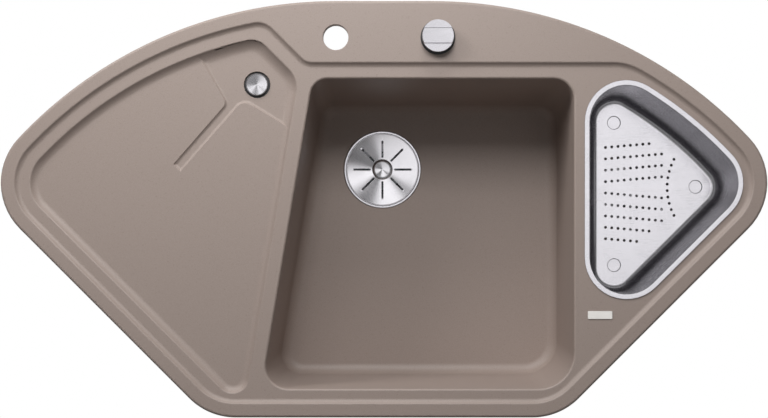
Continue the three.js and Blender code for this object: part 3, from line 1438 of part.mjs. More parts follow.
const TRAP_TOP = TEE_END - GAP;
const TRAP_LOW = TRAP_TOP - TRAP_DROP;
const TRAP_REAR_Y = MAIN_DRAIN_Y + TRAP_SPAN;
const TRAP_JOINT = TRAP_LOW + TRAP_RISE;
const ARM_Z = TRAP_JOINT + TRAP_ARM_RISE;

function trapBend() {
  const route = new PipeRoute([
    new THREE.Vector3(MAIN_DRAIN_X, MAIN_DRAIN_Y, TRAP_TOP),
    new THREE.Vector3(MAIN_DRAIN_X, MAIN_DRAIN_Y, TRAP_LOW),
    new THREE.Vector3(MAIN_DRAIN_X, TRAP_REAR_Y, TRAP_LOW),
    new THREE.Vector3(MAIN_DRAIN_X, TRAP_REAR_Y, TRAP_JOINT),
  ], TRAP_SPAN / 2 - TRAP_STRAIGHT);
  return tube(route, PIPE_R, PIPE_BORE);
}

function trapArm() {
  const route = new PipeRoute([
    new THREE.Vector3(MAIN_DRAIN_X, TRAP_REAR_Y, TRAP_JOINT + GAP),
    new THREE.Vector3(MAIN_DRAIN_X, TRAP_REAR_Y, ARM_Z),
    new THREE.Vector3(MAIN_DRAIN_X, TRAP_REAR_Y + TRAP_ARM_LENGTH, ARM_Z),
  ], TRAP_ARM_BEND_R);
  return tube(route, PIPE_R, PIPE_BORE);
}

add(sink, 'waste_tee', wasteTee(), greyPlastic);
add(sink, 'connecting_pipe', connectingPipe(), greyPlastic);
add(sink, 'overflow_pipe', overflowPipe(), greyPlastic);
add(sink, 'trap_bend', trapBend(), greyPlastic);
add(sink, 'trap_arm', trapArm(), greyPlastic);

// Coupling nuts sit around the pipe joints. A level joint turns the nut onto the branch's way.
function addNut(name, radius, { x, y, z }, way) {
  const place = station(x, y, z);
  if (way) place.rotation.set(0, Math.PI / 2, way.angle(), 'ZYX');
  add(place, name, couplingNut(radius), blackPlastic);
}

const branchJoint = besideTee(TEE_BRANCH_LENGTH, BRANCH_WAY, BRANCH_Z);
const overflowJoint = besideTee(TEE_OVERFLOW_LENGTH, OVERFLOW_WAY, OVERFLOW_BRANCH_Z);
const funnelJoint = new THREE.Vector3(OVERFLOW_X, OVERFLOW_Y, GUTTER_Z + FUNNEL_END);
const smallJoint = new THREE.Vector3(SMALL_DRAIN.x, SMALL_DRAIN.y, SMALL_FLOOR_Z - WASTE_LENGTH);
addNut('main_waste_nut', PIPE_R, new THREE.Vector3(MAIN_DRAIN_X, MAIN_DRAIN_Y, TEE_TOP));
addNut('small_waste_nut', PIPE_R, smallJoint);
addNut('connecting_nut', PIPE_R, branchJoint, BRANCH_WAY);
addNut('overflow_top_nut', OVERFLOW_PIPE_R, funnelJoint);
addNut('overflow_tee_nut', OVERFLOW_PIPE_R, overflowJoint, OVERFLOW_WAY);
addNut('trap_inlet_nut', PIPE_R, new THREE.Vector3(MAIN_DRAIN_X, MAIN_DRAIN_Y, TEE_END));
addNut('trap_outlet_nut', PIPE_R, new THREE.Vector3(MAIN_DRAIN_X, TRAP_REAR_Y, TRAP_JOINT));

// ---------------------------------------------------------------- colander

const colanderTop = LEVEL2 + GAP;

function colanderHoles(low, high) {
  const first = SMALL_LEFT_X + HOLE_FIRST_GAP;
  const middleY = SMALL_CORNERS[0].y;
  const middleRow = (HOLE_ROWS.length - 1) / 2;
  const baseInset = COLANDER_FLANGE + COLANDER_DRAFT * COLANDER_DEPTH + COLANDER_FLOOR_R + HOLE_EDGE_GAP;
  const centres = [];
  HOLE_ROWS.forEach((count, row) => {
    const y = middleY + (middleRow - row - 0.5) * HOLE_ROW_PITCH;
    const rise = row < middleRow ? HOLE_ROW_RISE : -HOLE_ROW_RISE;
    for (let k = 0; k < count; k += 1) {
      centres.push([first + k * HOLE_PITCH, y + rise * k * HOLE_PITCH]);
    }
  });
  const arcX = SMALL_CORNERS[0].x + HOLE_ARC_R - HOLE_ARC_GAP;
  for (let k = 0; k < HOLE_ARC_COUNT; k += 1) {
    const turn = THREE.MathUtils.degToRad((k - (HOLE_ARC_COUNT - 1) / 2) * HOLE_ARC_STEP);
    centres.push([arcX - HOLE_ARC_R * Math.cos(turn), middleY + HOLE_ARC_R * Math.sin(turn)]);
  }
  const safe = outline(smallSidesInset(baseInset), smallRadiiInset(baseInset));
  const rods = centres
    .filter(([x, y]) => isInside(x, y, safe))
    .map(([x, y]) => weld(rod(HOLE_R, low, high, HOLE_SIDES)).translate(x, y, 0));
  return solid(mergeGeometries(rods));
}

function isInside(x, y, points) {
  return points.every((a, i) => {
    const b = points[(i + 1) % points.length];
    return (b.x - a.x) * (y - a.y) - (b.y - a.y) * (x - a.x) > 0;
  });
}

function colanderFeet(radius, low, high) {
  return SMALL_CORNERS.map((corner) => {
    const centre = corner.clone().sub(SMALL_DRAIN).normalize().multiplyScalar(COLANDER_FOOT_OUT);
    centre.add(corner);
    return rod(radius, low, high, PIPE_SIDES).translate(centre.x, centre.y, 0);
  });
}

function colander() {
  const base = colanderTop - COLANDER_DEPTH;
  const top = colanderTop + COLANDER_SHEET;
  const drafts = [COLANDER_DRAFT, COLANDER_DRAFT, COLANDER_LEFT_DRAFT];
  const outerInset = COLANDER_FLANGE - COLANDER_SHEET;
  const shell = bowl(
    smallSidesInset(outerInset),
    smallRadiiInset(outerInset),
    drafts,
    colanderTop,
    base - COLANDER_SHEET,
    0,
    COLANDER_FLOOR_R + COLANDER_SHEET,
    COLANDER_SHEET / 2,
    SMALL_CORNER_FALL,
  );
  const hollow = bowl(
    smallSidesInset(COLANDER_FLANGE),
    smallRadiiInset(COLANDER_FLANGE),
    drafts,
    colanderTop,
    base,
    0,
    COLANDER_FLOOR_R,
    OVERCUT,
    SMALL_CORNER_FALL,
  );
  const flange = prism(outline(SMALL_SIDES, SMALL_RADII), colanderTop, top);
  const footLow = base - COLANDER_SHEET - COLANDER_FOOT_DROP;
  return cut(
    join(shell, flange, ...colanderFeet(COLANDER_FOOT_R + COLANDER_SHEET, footLow, base - FOOT_SINK)),
    hollow,
    ...colanderFeet(COLANDER_FOOT_R, footLow + COLANDER_SHEET, base + OVERCUT),
    colanderHoles(base - COLANDER_SHEET - OVERCUT, base + OVERCUT),
  );
}

add(sink, 'colander', colander(), polishedSteel);

const group = new THREE.Group();
group.add(sink);

export default group;
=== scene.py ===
# Corner kitchen sink: moulded stone body with drainer and two bowls, steel colander, strainers,
# drain knob, overflow, waste pipes and fixing clips. Lengths in this file are millimetres; Y runs
# from the front edge, and build() turns both into metres in the row frame.
import json
import math

import bpy
import bmesh
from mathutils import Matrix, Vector


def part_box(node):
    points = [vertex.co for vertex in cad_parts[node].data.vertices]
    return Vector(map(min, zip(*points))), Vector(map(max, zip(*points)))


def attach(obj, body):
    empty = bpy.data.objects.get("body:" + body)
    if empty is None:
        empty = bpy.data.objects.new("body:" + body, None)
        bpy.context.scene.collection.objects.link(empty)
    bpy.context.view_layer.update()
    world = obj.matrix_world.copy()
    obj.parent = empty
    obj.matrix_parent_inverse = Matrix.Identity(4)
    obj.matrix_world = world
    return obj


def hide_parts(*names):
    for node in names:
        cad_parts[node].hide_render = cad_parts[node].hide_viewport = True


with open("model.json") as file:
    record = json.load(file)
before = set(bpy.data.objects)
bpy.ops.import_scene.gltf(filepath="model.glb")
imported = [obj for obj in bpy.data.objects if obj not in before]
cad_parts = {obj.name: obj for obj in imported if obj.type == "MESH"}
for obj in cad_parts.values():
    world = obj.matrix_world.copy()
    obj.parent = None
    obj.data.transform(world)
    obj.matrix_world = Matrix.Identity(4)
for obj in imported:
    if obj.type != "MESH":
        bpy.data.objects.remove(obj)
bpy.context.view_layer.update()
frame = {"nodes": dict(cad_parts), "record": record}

MM = 0.001
SEAT_MIDDLE = 10.0  # the row frame's origin lies this far behind the front edge
GAP = 0.3  # clearance between pieces
OVERCUT = 4.0  # how far a cutter runs past the face that it opens

NODE_SLOT = {part["node"]: part["material_slot"] for part in frame["record"]["subparts"]}
NODE_BODY = {n: b for b, ns in frame["record"]["behaviour"]["bodies"].items() for n in ns}

# ------------------------------------------------------------------ camera
# It looks straight down. Its lens is shifted, because the photograph's middle isn't under it.
RIM_TOP = 8.0
WIDTH_AT_RIM = 1058.5  # what the frame's width spans at the rim's height
CAMERA_HEIGHT = 2000.0
CAMERA_X = 27.6
CAMERA_Y = 184.4
VIEW_MIDDLE_Y = 287.7
SENSOR_WIDTH = 36.0
VIEW_END = 20.0  # metres

camera_data = bpy.data.cameras.new("camera")
camera_data.sensor_width = SENSOR_WIDTH
camera_data.lens = SENSOR_WIDTH * CAMERA_HEIGHT / WIDTH_AT_RIM
camera_data.shift_x = -CAMERA_X / WIDTH_AT_RIM
camera_data.shift_y = (VIEW_MIDDLE_Y - CAMERA_Y) / WIDTH_AT_RIM
camera_data.clip_end = VIEW_END
camera = bpy.data.objects.new("camera", camera_data)
bpy.context.scene.collection.objects.link(camera)
camera.location = (CAMERA_X * MM, (CAMERA_Y - SEAT_MIDDLE) * MM, (CAMERA_HEIGHT + RIM_TOP) * MM)
bpy.context.scene.camera = camera
bpy.context.scene.view_settings.view_transform = "Standard"


# ------------------------------------------------------------------ materials
def rgb(code):
    values = [int(code[i:i + 2], 16) / 255.0 for i in (1, 3, 5)]
    linear = [v / 12.92 if v <= 0.04045 else ((v + 0.055) / 1.055) ** 2.4 for v in values]
    return (*linear, 1.0)


def put(tree, kind, values=None, stops=(), **settings):
    """Adds a node. values holds sockets by name or number: a value, a link, or a node's first output.
    stops holds a colour ramp's places and colours."""
    node = tree.nodes.new(kind)
    for key, value in settings.items():
        setattr(node, key, value)
    for key, value in (values or {}).items():
        if isinstance(value, bpy.types.Node):
            value = value.outputs[0]
        if isinstance(value, bpy.types.NodeSocket):
            tree.links.new(value, node.inputs[key])
        else:
            node.inputs[key].default_value = value
    for k, (place, colour) in enumerate(stops):
        ramp = node.color_ramp.elements
        if k == 0:
            while len(ramp) > 1:
                ramp.remove(ramp[-1])
            ramp[0].position = place
        stop = ramp.new(place) if k else ramp[0]
        stop.color = colour
    return node


def new_material(name):
    material = bpy.data.materials.new(name)
    material.use_nodes = True
    tree = material.node_tree
    tree.nodes.clear()
    return material, tree


def scale_of(size_mm):
    """A pattern's scale, which counts its repeats in a metre."""
    return 1.0 / (size_mm * MM)


def stone_material():
    # Composite stone, moulded matt: fine mineral grains of lighter and darker taupe break up the
    # surface at arm's length, and the mould leaves a faint grainy relief that softens highlights.
    material, tree = new_material("composite_stone_taupe")
    point = put(tree, "ShaderNodeTexCoord").outputs["Object"]
    grains = put(tree, "ShaderNodeTexNoise", {
        "Vector": point, "Scale": scale_of(0.9), "Detail": 3.0, "Roughness": 0.65})
    flecks = put(tree, "ShaderNodeTexNoise", {
        "Vector": point, "Scale": scale_of(2.2), "Detail": 2.0, "Roughness": 0.6})
    cloud = put(tree, "ShaderNodeTexNoise", {
        "Vector": point, "Scale": scale_of(160.0), "Detail": 2.0, "Roughness": 0.5})
    base = put(tree, "ShaderNodeValToRGB", {"Fac": grains},
               stops=((0.35, rgb("#96877f")), (0.65, rgb("#a2938b"))))
    dark = put(tree, "ShaderNodeMapRange", {
        "Value": flecks, "From Min": 0.62, "From Max": 0.72, "To Max": 0.5})
    flecked = put(tree, "ShaderNodeMix", {0: dark, 6: base, 7: rgb("#857670")}, data_type="RGBA").outputs[2]
    haze = put(tree, "ShaderNodeMapRange", {"Value": cloud, "To Min": 0.0, "To Max": 0.08})
    colour = put(tree, "ShaderNodeMix", {0: haze, 6: flecked, 7: rgb("#ad9f96")}, data_type="RGBA").outputs[2]
    shader = put(tree, "ShaderNodeBsdfPrincipled", {
        "Base Color": colour,
        "Roughness": put(tree, "ShaderNodeMapRange", {"Value": grains, "To Min": 0.44, "To Max": 0.54}),
        "Specular IOR Level": 0.5,
        "Normal": put(tree, "ShaderNodeBump", {"Height": grains, "Distance": 0.06 * MM, "Strength": 0.5}),
    })
    put(tree, "ShaderNodeOutputMaterial", {"Surface": shader})
    return material


def steel_material(name, colour, centre=None, roughness=0.3, grain_mm=0.04, anisotropy=0.55, crown=0.0):
    # Stainless steel with a fine brushed grain: round the centre where one is given, or else
    # along X. Lights stretch square to the grain, so a turned disc shows bright and dark fans,
    # and a crown, in degrees, tilts its grooves outward so that the fans differ from side to side.
    # The grain is drawn several times coarser than a real brush leaves it, so that it shows.
    material, tree = new_material(name)
    point = put(tree, "ShaderNodeTexCoord").outputs["Object"]
    if centre is None:
        across = put(tree, "ShaderNodeVectorMath", {0: point, 1: (0.02, 1.0, 1.0)}, operation="MULTIPLY")
        tangent = put(tree, "ShaderNodeCombineXYZ", {"Y": 1.0})
        grain_size = 0.35
    else:
        from_centre = put(tree, "ShaderNodeVectorMath", {0: point, 1: centre}, operation="SUBTRACT")
        flat = put(tree, "ShaderNodeVectorMath", {0: from_centre, 1: (1.0, 1.0, 0.0)}, operation="MULTIPLY")
        tangent = put(tree, "ShaderNodeVectorMath", {0: flat}, operation="NORMALIZE")
        radius = put(tree, "ShaderNodeVectorMath", {0: flat}, operation="LENGTH").outputs["Value"]
        across = put(tree, "ShaderNodeCombineXYZ", {"X": radius})
        grain_size = 0.3
    lines = put(tree, "ShaderNodeTexNoise", {
        "Vector": across, "Scale": scale_of(grain_size), "Detail": 3.0, "Roughness": 0.6})
    relief = put(tree, "ShaderNodeBump", {"Height": lines, "Distance": grain_mm * MM, "Strength": 0.4})
    if crown:
        slope = -math.tan(math.radians(crown))
        fall = put(tree, "ShaderNodeMath", {0: radius, 1: slope}, operation="MULTIPLY")
        relief = put(tree, "ShaderNodeBump", {"Height": fall, "Distance": 1.0, "Normal": relief})
    soil = put(tree, "ShaderNodeTexNoise", {
        "Vector": point, "Scale": scale_of(25.0), "Detail": 3.0, "Roughness": 0.6})
    brushed = put(tree, "ShaderNodeMapRange", {
        "Value": lines, "To Min": roughness - 0.05, "To Max": roughness + 0.07})
    soiled = put(tree, "ShaderNodeMapRange", {"Value": soil, "To Min": -0.03, "To Max": 0.04})
    shader = put(tree, "ShaderNodeBsdfPrincipled", {
        "Base Color": rgb(colour),
        "Metallic": 1.0,
        "Roughness": put(tree, "ShaderNodeMath", {0: brushed, 1: soiled}, operation="ADD"),
        "Anisotropic": anisotropy,
        "Tangent": tangent,
        "Normal": relief,
    })
    put(tree, "ShaderNodeOutputMaterial", {"Surface": shader})
    return material


def moulded_material(name, colour, lighter, roughness):
    # Moulded plastic: even colour with a faint cloud and an orange-peel skin, so that large
    # pipes don't look like flat paint.
    material, tree = new_material(name)
    point = put(tree, "ShaderNodeTexCoord").outputs["Object"]
    cloud = put(tree, "ShaderNodeTexNoise", {
        "Vector": point, "Scale": scale_of(30.0), "Detail": 3.0, "Roughness": 0.55})
    skin = put(tree, "ShaderNodeTexNoise", {
        "Vector": point, "Scale": scale_of(1.2), "Detail": 2.0, "Roughness": 0.5})
    shader = put(tree, "ShaderNodeBsdfPrincipled", {
        "Base Color": put(tree, "ShaderNodeValToRGB", {"Fac": cloud},
                          stops=((0.3, rgb(colour)), (0.7, rgb(lighter)))),
        "Roughness": put(tree, "ShaderNodeMapRange", {
            "Value": cloud, "To Min": roughness - 0.06, "To Max": roughness + 0.06}),
        "Specular IOR Level": 0.5,
        "Normal": put(tree, "ShaderNodeBump", {"Height": skin, "Distance": 0.04 * MM, "Strength": 0.5}),
    })
    put(tree, "ShaderNodeOutputMaterial", {"Surface": shader})
    return material


def rubber_material():
    # Black sealing rubber: nearly no gloss, and a dusty bloom in patches.
    material, tree = new_material("black_sealing_rubber")
    point = put(tree, "ShaderNodeTexCoord").outputs["Object"]
    bloom = put(tree, "ShaderNodeTexNoise", {
        "Vector": point, "Scale": scale_of(9.0), "Detail": 4.0, "Roughness": 0.6})
    shader = put(tree, "ShaderNodeBsdfPrincipled", {
        "Base Color": put(tree, "ShaderNodeValToRGB", {"Fac": bloom},
                          stops=((0.3, rgb("#141414")), (0.7, rgb("#242322")))),
        "Roughness": put(tree, "ShaderNodeMapRange", {"Value": bloom, "To Min": 0.75, "To Max": 0.95}),
        "Specular IOR Level": 0.25,
    })
    put(tree, "ShaderNodeOutputMaterial", {"Surface": shader})
    return material


def zinc_material():
    # Zinc-plated steel: a bluish grey with small crystal patches, 4 mm across, that differ in gloss.
    material, tree = new_material("zinc_plated_steel")
    point = put(tree, "ShaderNodeTexCoord").outputs["Object"]
    cells = put(tree, "ShaderNodeTexVoronoi", {"Vector": point, "Scale": scale_of(4.0)})
    cloud = put(tree, "ShaderNodeTexNoise", {
        "Vector": point, "Scale": scale_of(6.0), "Detail": 3.0, "Roughness": 0.6})
    shader = put(tree, "ShaderNodeBsdfPrincipled", {
        "Base Color": put(tree, "ShaderNodeValToRGB", {"Fac": cloud},
                          stops=((0.3, rgb("#8d9296")), (0.7, rgb("#b3b7ba")))),
        "Metallic": 1.0,
        "Roughness": put(tree, "ShaderNodeMapRange", {
            "Value": cells.outputs["Distance"], "To Min": 0.3, "To Max": 0.5}),
    })
    put(tree, "ShaderNodeOutputMaterial", {"Surface": shader})
    return material


def centre_of(node):
    low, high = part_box(node)
    return tuple((low + high) / 2)


def turned_steel(name, node, roughness=0.17, crown=7.0):
    return steel_material(name, "#cfcdd1", centre_of(node), roughness, grain_mm=0.012, anisotropy=0.75,
                          crown=crown)


MATERIALS = {
    "stone": stone_material(),
    "satin_steel": steel_material("brushed_steel", "#cfccc8"),
    "polished_steel": steel_material("pressed_steel", "#cfcdd2", roughness=0.24, grain_mm=0.015,
                                     anisotropy=0.25),
    "zinc_steel": zinc_material(),
    "black_plastic": moulded_material("black_pipe_plastic", "#1d1e20", "#2b2c2e", roughness=0.5),
    "grey_plastic": moulded_material("grey_pipe_plastic", "#8a8e92", "#9a9ea2", roughness=0.45),
    "white_plastic": moulded_material("white_gear_plastic", "#dcdcd6", "#e8e8e3", roughness=0.42),
    "rubber": rubber_material(),
    "main_disc": turned_steel("turned_steel_main", "main_strainer_disc"),
    "small_disc": turned_steel("turned_steel_small", "small_strainer_disc"),
    "cap_disc": turned_steel("turned_steel_cap", "overflow_cap", roughness=0.18, crown=6.0),
}
for node_name, node_object in frame["nodes"].items():
    node_object.data.materials.clear()
    node_object.data.materials.append(MATERIALS[NODE_SLOT[node_name]])


# ------------------------------------------------------------------ outlines
def line(x, y, dx, dy):
    length = math.hypot(dx, dy)
    return ("line", x, y, dx / length, dy / length)


def arc(x, y, radius):
    return ("arc", x, y, radius)


def inset(side, distance):
    if side[0] == "arc":
        return arc(side[1], side[2], side[3] - distance)
    _, x, y, dx, dy = side
    return ("line", x - dy * distance, y + dx * distance, dx, dy)


def meet(before, after):
    if before[0] == "line" and after[0] == "line":
        _, ax, ay, adx, ady = before
        _, bx, by, bdx, bdy = after
        t = ((bx - ax) * bdy - (by - ay) * bdx) / (adx * bdy - ady * bdx)
        return (ax + t * adx, ay + t * ady)
    leaving = before[0] == "line"
    straight, curved = (before, after) if leaving else (after, before)
    _, x, y, dx, dy = straight
    _, cx, cy, radius = curved
    along = (x - cx) * dx + (y - cy) * dy
    reach = math.sqrt(max(along ** 2 - (x - cx) ** 2 - (y - cy) ** 2 + radius ** 2, 0.0))
    t = -along + (reach if leaving else -reach)
    return (x + t * dx, y + t * dy)


def foot_on(side, point):
    if side[0] == "arc":
        _, cx, cy, radius = side
        away = math.hypot(point[0] - cx, point[1] - cy)
        return (cx + (point[0] - cx) * radius / away, cy + (point[1] - cy) * radius / away)
    _, x, y, dx, dy = side
    t = (point[0] - x) * dx + (point[1] - y) * dy
    return (x + t * dx, y + t * dy)


def corners_of(sides, radii):
    corners = []
    for i, radius in enumerate(radii):
        before, after = sides[i], sides[(i + 1) % len(sides)]
        centre = meet(inset(before, radius), inset(after, radius))
        corners.append((radius, centre, foot_on(before, centre), foot_on(after, centre)))
    return corners


def sweep(centre, start, end, steps, backwards=False):
    first = math.atan2(start[1] - centre[1], start[0] - centre[0])
    turn = math.atan2(end[1] - centre[1], end[0] - centre[0]) - first
    if not backwards and turn < 0:
        turn += 2 * math.pi
    if backwards and turn > 0:
        turn -= 2 * math.pi
    radius = math.dist(start, centre)
    angles = [first + turn * k / steps for k in range(steps + 1)]
    return [(centre[0] + radius * math.cos(a), centre[1] + radius * math.sin(a)) for a in angles]


CORNER_STEPS = 14
ARC_STEPS = 36


def outline(sides, radii, distance=0.0):
    moved = [inset(side, distance) for side in sides]
    rounded = [0 if r == 0 else (r - distance if r < 0 else max(r - distance, 1.0)) for r in radii]
    corners = corners_of(moved, rounded)
    points = []
    for i, (radius, centre, start, end) in enumerate(corners):
        if radius == 0:
            points.append(start)
        else:
            points += sweep(centre, start, end, CORNER_STEPS, radius < 0)
        side = moved[(i + 1) % len(moved)]
        if side[0] == "arc":
            points += sweep(side[1:3], end, corners[(i + 1) % len(corners)][2], ARC_STEPS)[1:-1]
    return points


# ------------------------------------------------------------------ meshes
def new_object(name, points, faces):
    mesh = bpy.data.meshes.new(name)
    mesh.from_pydata(points, [], faces)
    outwards = bmesh.new()
    outwards.from_mesh(mesh)
    bmesh.ops.recalc_face_normals(outwards, faces=outwards.faces)
    outwards.to_mesh(mesh)
    outwards.free()
    piece = bpy.data.objects.new(name, mesh)
    bpy.context.scene.collection.objects.link(piece)
    return piece


def loft(name, rings):
    """A closed skin over rings [(points, z)] of equal point count, from the lowest to the highest."""
    count = len(rings[0][0])
    points = [(x, y, z) for ring, z in rings for x, y in ring]
    faces = []
    for r in range(len(rings) - 1):
        for i in range(count):
            a, b = r * count + i, r * count + (i + 1) % count
            faces.append((a, b, b + count, a + count))
    faces.append(tuple(reversed(range(count))))
    top = (len(rings) - 1) * count
    faces.append(tuple(range(top, top + count)))
    return new_object(name, points, faces)


def prism(name, points, low, high):
    return loft(name, [(points, low), (points, high)])


ROUNDED_SHARE = 0.45  # share of a side that one rounding may take
LEAST_ROUNDING = 0.02
NEARLY_STRAIGHT = math.radians(165)
MERGED_WITHIN = 1e-7  # metres
BEVEL_OVER = math.radians(35)


def soften(profile, radius, closed, steps=3):
    """Rounds the corners of a profile, except its ends on the axis."""
    result = []
    count = len(profile)
    for i, corner in enumerate(profile):
        if not closed and i in (0, count - 1):
            result.append(corner)
            continue
        here = Vector(corner)
        back = Vector(profile[i - 1]) - here
        on = Vector(profile[(i + 1) % count]) - here
        reach = min(radius, back.length * ROUNDED_SHARE, on.length * ROUNDED_SHARE)
        if reach < LEAST_ROUNDING or back.angle(on) > NEARLY_STRAIGHT:
            result.append(corner)
            continue
        start, end = here + back.normalized() * reach, here + on.normalized() * reach
        for k in range(steps + 1):
            t = k / steps
            point = start * (1 - t) ** 2 + here * 2 * t * (1 - t) + end * t ** 2
            result.append(tuple(point))
    return result


def turned(name, profile, segments=72, radius=0.4, steps=3):
    """A body of revolution about Z from [radius, height] pairs, with softened edges."""
    on_axis = profile[0][0] == 0 and profile[-1][0] == 0
    shape = soften(profile, radius, not on_axis, steps)
    area = sum(a[0] * b[1] - b[0] * a[1] for a, b in zip(shape, shape[1:] + shape[:1]))
    if area < 0:
        shape.reverse()
    points, index = [], []
    for r, z in shape:
        if r == 0:
            index.append([len(points)] * segments)
            points.append((0.0, 0.0, z))
        else:
            index.append(list(range(len(points), len(points) + segments)))
            for k in range(segments):
                a = 2 * math.pi * k / segments
                points.append((r * math.cos(a), r * math.sin(a), z))
    faces = []
    pairs = list(zip(index, index[1:])) + ([] if on_axis else [(index[-1], index[0])])
    for low, high in pairs:
        for k in range(segments):
            n = (k + 1) % segments
            ring = [low[k], low[n], high[n], high[k]]
            face = [v for i, v in enumerate(ring) if v != ring[i - 1]]
            if len(face) > 2:
                faces.append(face)
    return new_object(name, points, faces)


def rod(name, radius, low, high, segments=48, edge=0.0):
    return turned(name, [(0, low), (radius, low), (radius, high), (0, high)], segments, edge)


def block(name, x0, x1, y0, y1, z0, z1):
    return prism(name, [(x0, y0), (x1, y0), (x1, y1), (x0, y1)], z0, z1)


def shift(piece, x=0.0, y=0.0, z=0.0):
    for vertex in piece.data.vertices:
        vertex.co += Vector((x, y, z))
    return piece


def turn(piece, matrix_rows):
    """Maps each point by three row vectors."""
    rows = [Vector(row) for row in matrix_rows]
    for vertex in piece.data.vertices:
        vertex.co = Vector([row.dot(vertex.co) for row in rows])
    return piece


def along_x(piece):
    return turn(piece, ((0, 0, 1), (1, 0, 0), (0, 1, 0)))


def along_y(piece):
    return turn(piece, ((0, 1, 0), (0, 0, 1), (1, 0, 0)))


def spin(piece, angle):
    c, s = math.cos(angle), math.sin(angle)
    return turn(piece, ((c, -s, 0), (s, c, 0), (0, 0, 1)))


def tilt_y(piece, angle):
    c, s = math.cos(angle), math.sin(angle)
    return turn(piece, ((c, 0, s), (0, 1, 0), (-s, 0, c)))


def apply_modifiers(piece):
    graph = bpy.context.evaluated_depsgraph_get()
    mesh = bpy.data.meshes.new_from_object(piece.evaluated_get(graph), depsgraph=graph)
    old = piece.data
    piece.modifiers.clear()
    piece.data = mesh
    mesh.name = piece.name
    bpy.data.meshes.remove(old)
    return piece


def carve(piece, *tools, operation="DIFFERENCE"):
    for tool in tools:
        modifier = piece.modifiers.new("carve", "BOOLEAN")
        modifier.operation = operation
        modifier.solver = "EXACT"
        modifier.object = tool
        apply_modifiers(piece)
        bpy.data.objects.remove(tool)
    return piece


def join(piece, *others):
    return carve(piece, *others, operation="UNION")


def gather(name, pieces):
    """One mesh from several that needn't be fused."""
    whole = bmesh.new()
    for piece in pieces:
        whole.from_mesh(piece.data)
        bpy.data.objects.remove(piece)
    mesh = bpy.data.meshes.new(name)
    whole.to_mesh(mesh)
    whole.free()
    result = bpy.data.objects.new(name, mesh)
    bpy.context.scene.collection.objects.link(result)
    return result


def bevelled(piece, width=0.5, segments=2):
    modifier = piece.modifiers.new("bevel", "BEVEL")
    modifier.width = width
    modifier.segments = segments
    modifier.limit_method = "ANGLE"
    modifier.angle_limit = BEVEL_OVER
    return apply_modifiers(piece)


def build(piece, node, material=None, place=(0.0, 0.0, 0.0), sharp=32.0):
    """Moves a piece to its place in the row frame, shades it and lets it stand for a CAD node."""
    for vertex in piece.data.vertices:
        x, y, z = vertex.co
        vertex.co = ((x + place[0]) * MM, (y + place[1] - SEAT_MIDDLE) * MM, (z + place[2]) * MM)
    mesh = piece.data
    mesh.update()
    cleaned = bmesh.new()
    cleaned.from_mesh(mesh)
    bmesh.ops.remove_doubles(cleaned, verts=cleaned.verts, dist=MERGED_WITHIN)
    bmesh.ops.recalc_face_normals(cleaned, faces=cleaned.faces)
    cleaned.to_mesh(mesh)
    cleaned.free()
    mesh.shade_smooth()
    mesh.set_sharp_from_angle(angle=math.radians(sharp))
    weighted = piece.modifiers.new("weighted", "WEIGHTED_NORMAL")
    weighted.keep_sharp = True
    weighted.weight = 60
    apply_modifiers(piece)
    piece.data.materials.clear()
    piece.data.materials.append(MATERIALS[material or NODE_SLOT[node]])
    piece.name = node + "_shape"
    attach(piece, NODE_BODY[node])
    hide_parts(node)
    return piece


# ------------------------------------------------------------------ repeats
def repeat_tree():
    """Geometry nodes: sets copies of one mesh evenly around a circle and realises them."""
    tree = bpy.data.node_groups.new("copies_around_circle", "GeometryNodeTree")
    for label, kind in (("Count", "NodeSocketInt"), ("Radius", "NodeSocketFloat"),
                        ("Turn", "NodeSocketFloat"), ("Copy", "NodeSocketObject"),
                        ("Finish", "NodeSocketMaterial")):
        tree.interface.new_socket(label, in_out="INPUT", socket_type=kind)
    tree.interface.new_socket("Geometry", in_out="OUTPUT", socket_type="NodeSocketGeometry")
    source = tree.nodes.new("NodeGroupInput").outputs
    circle = put(tree, "GeometryNodeMeshCircle", {"Vertices": source["Count"], "Radius": 1.0})
    index = tree.nodes.new("GeometryNodeInputIndex").outputs[0]
    share = put(tree, "ShaderNodeMath", {0: index, 1: source["Count"]}, operation="DIVIDE")
    angle = put(tree, "ShaderNodeMath", {0: share, 1: 2 * math.pi, 2: source["Turn"]},
                operation="MULTIPLY_ADD")
    cosine = put(tree, "ShaderNodeMath", {0: angle}, operation="COSINE")
    sine = put(tree, "ShaderNodeMath", {0: angle}, operation="SINE")
    way = put(tree, "ShaderNodeCombineXYZ", {"X": cosine, "Y": sine})
    spot = put(tree, "ShaderNodeVectorMath", {0: way, "Scale": source["Radius"]},
               operation="SCALE")
    placed = put(tree, "GeometryNodeSetPosition", {
        "Geometry": circle, "Position": spot})
    rotation = put(tree, "ShaderNodeCombineXYZ", {"Z": angle})
    info = put(tree, "GeometryNodeObjectInfo", {"Object": source["Copy"]})
    copies = put(tree, "GeometryNodeInstanceOnPoints", {
        "Points": placed, "Instance": info.outputs["Geometry"], "Rotation": rotation})
    real = put(tree, "GeometryNodeRealizeInstances", {"Geometry": copies})
    done = put(tree, "GeometryNodeSetMaterial", {"Geometry": real, "Material": source["Finish"]})
    put(tree, "NodeGroupOutput", {"Geometry": done})
    return tree


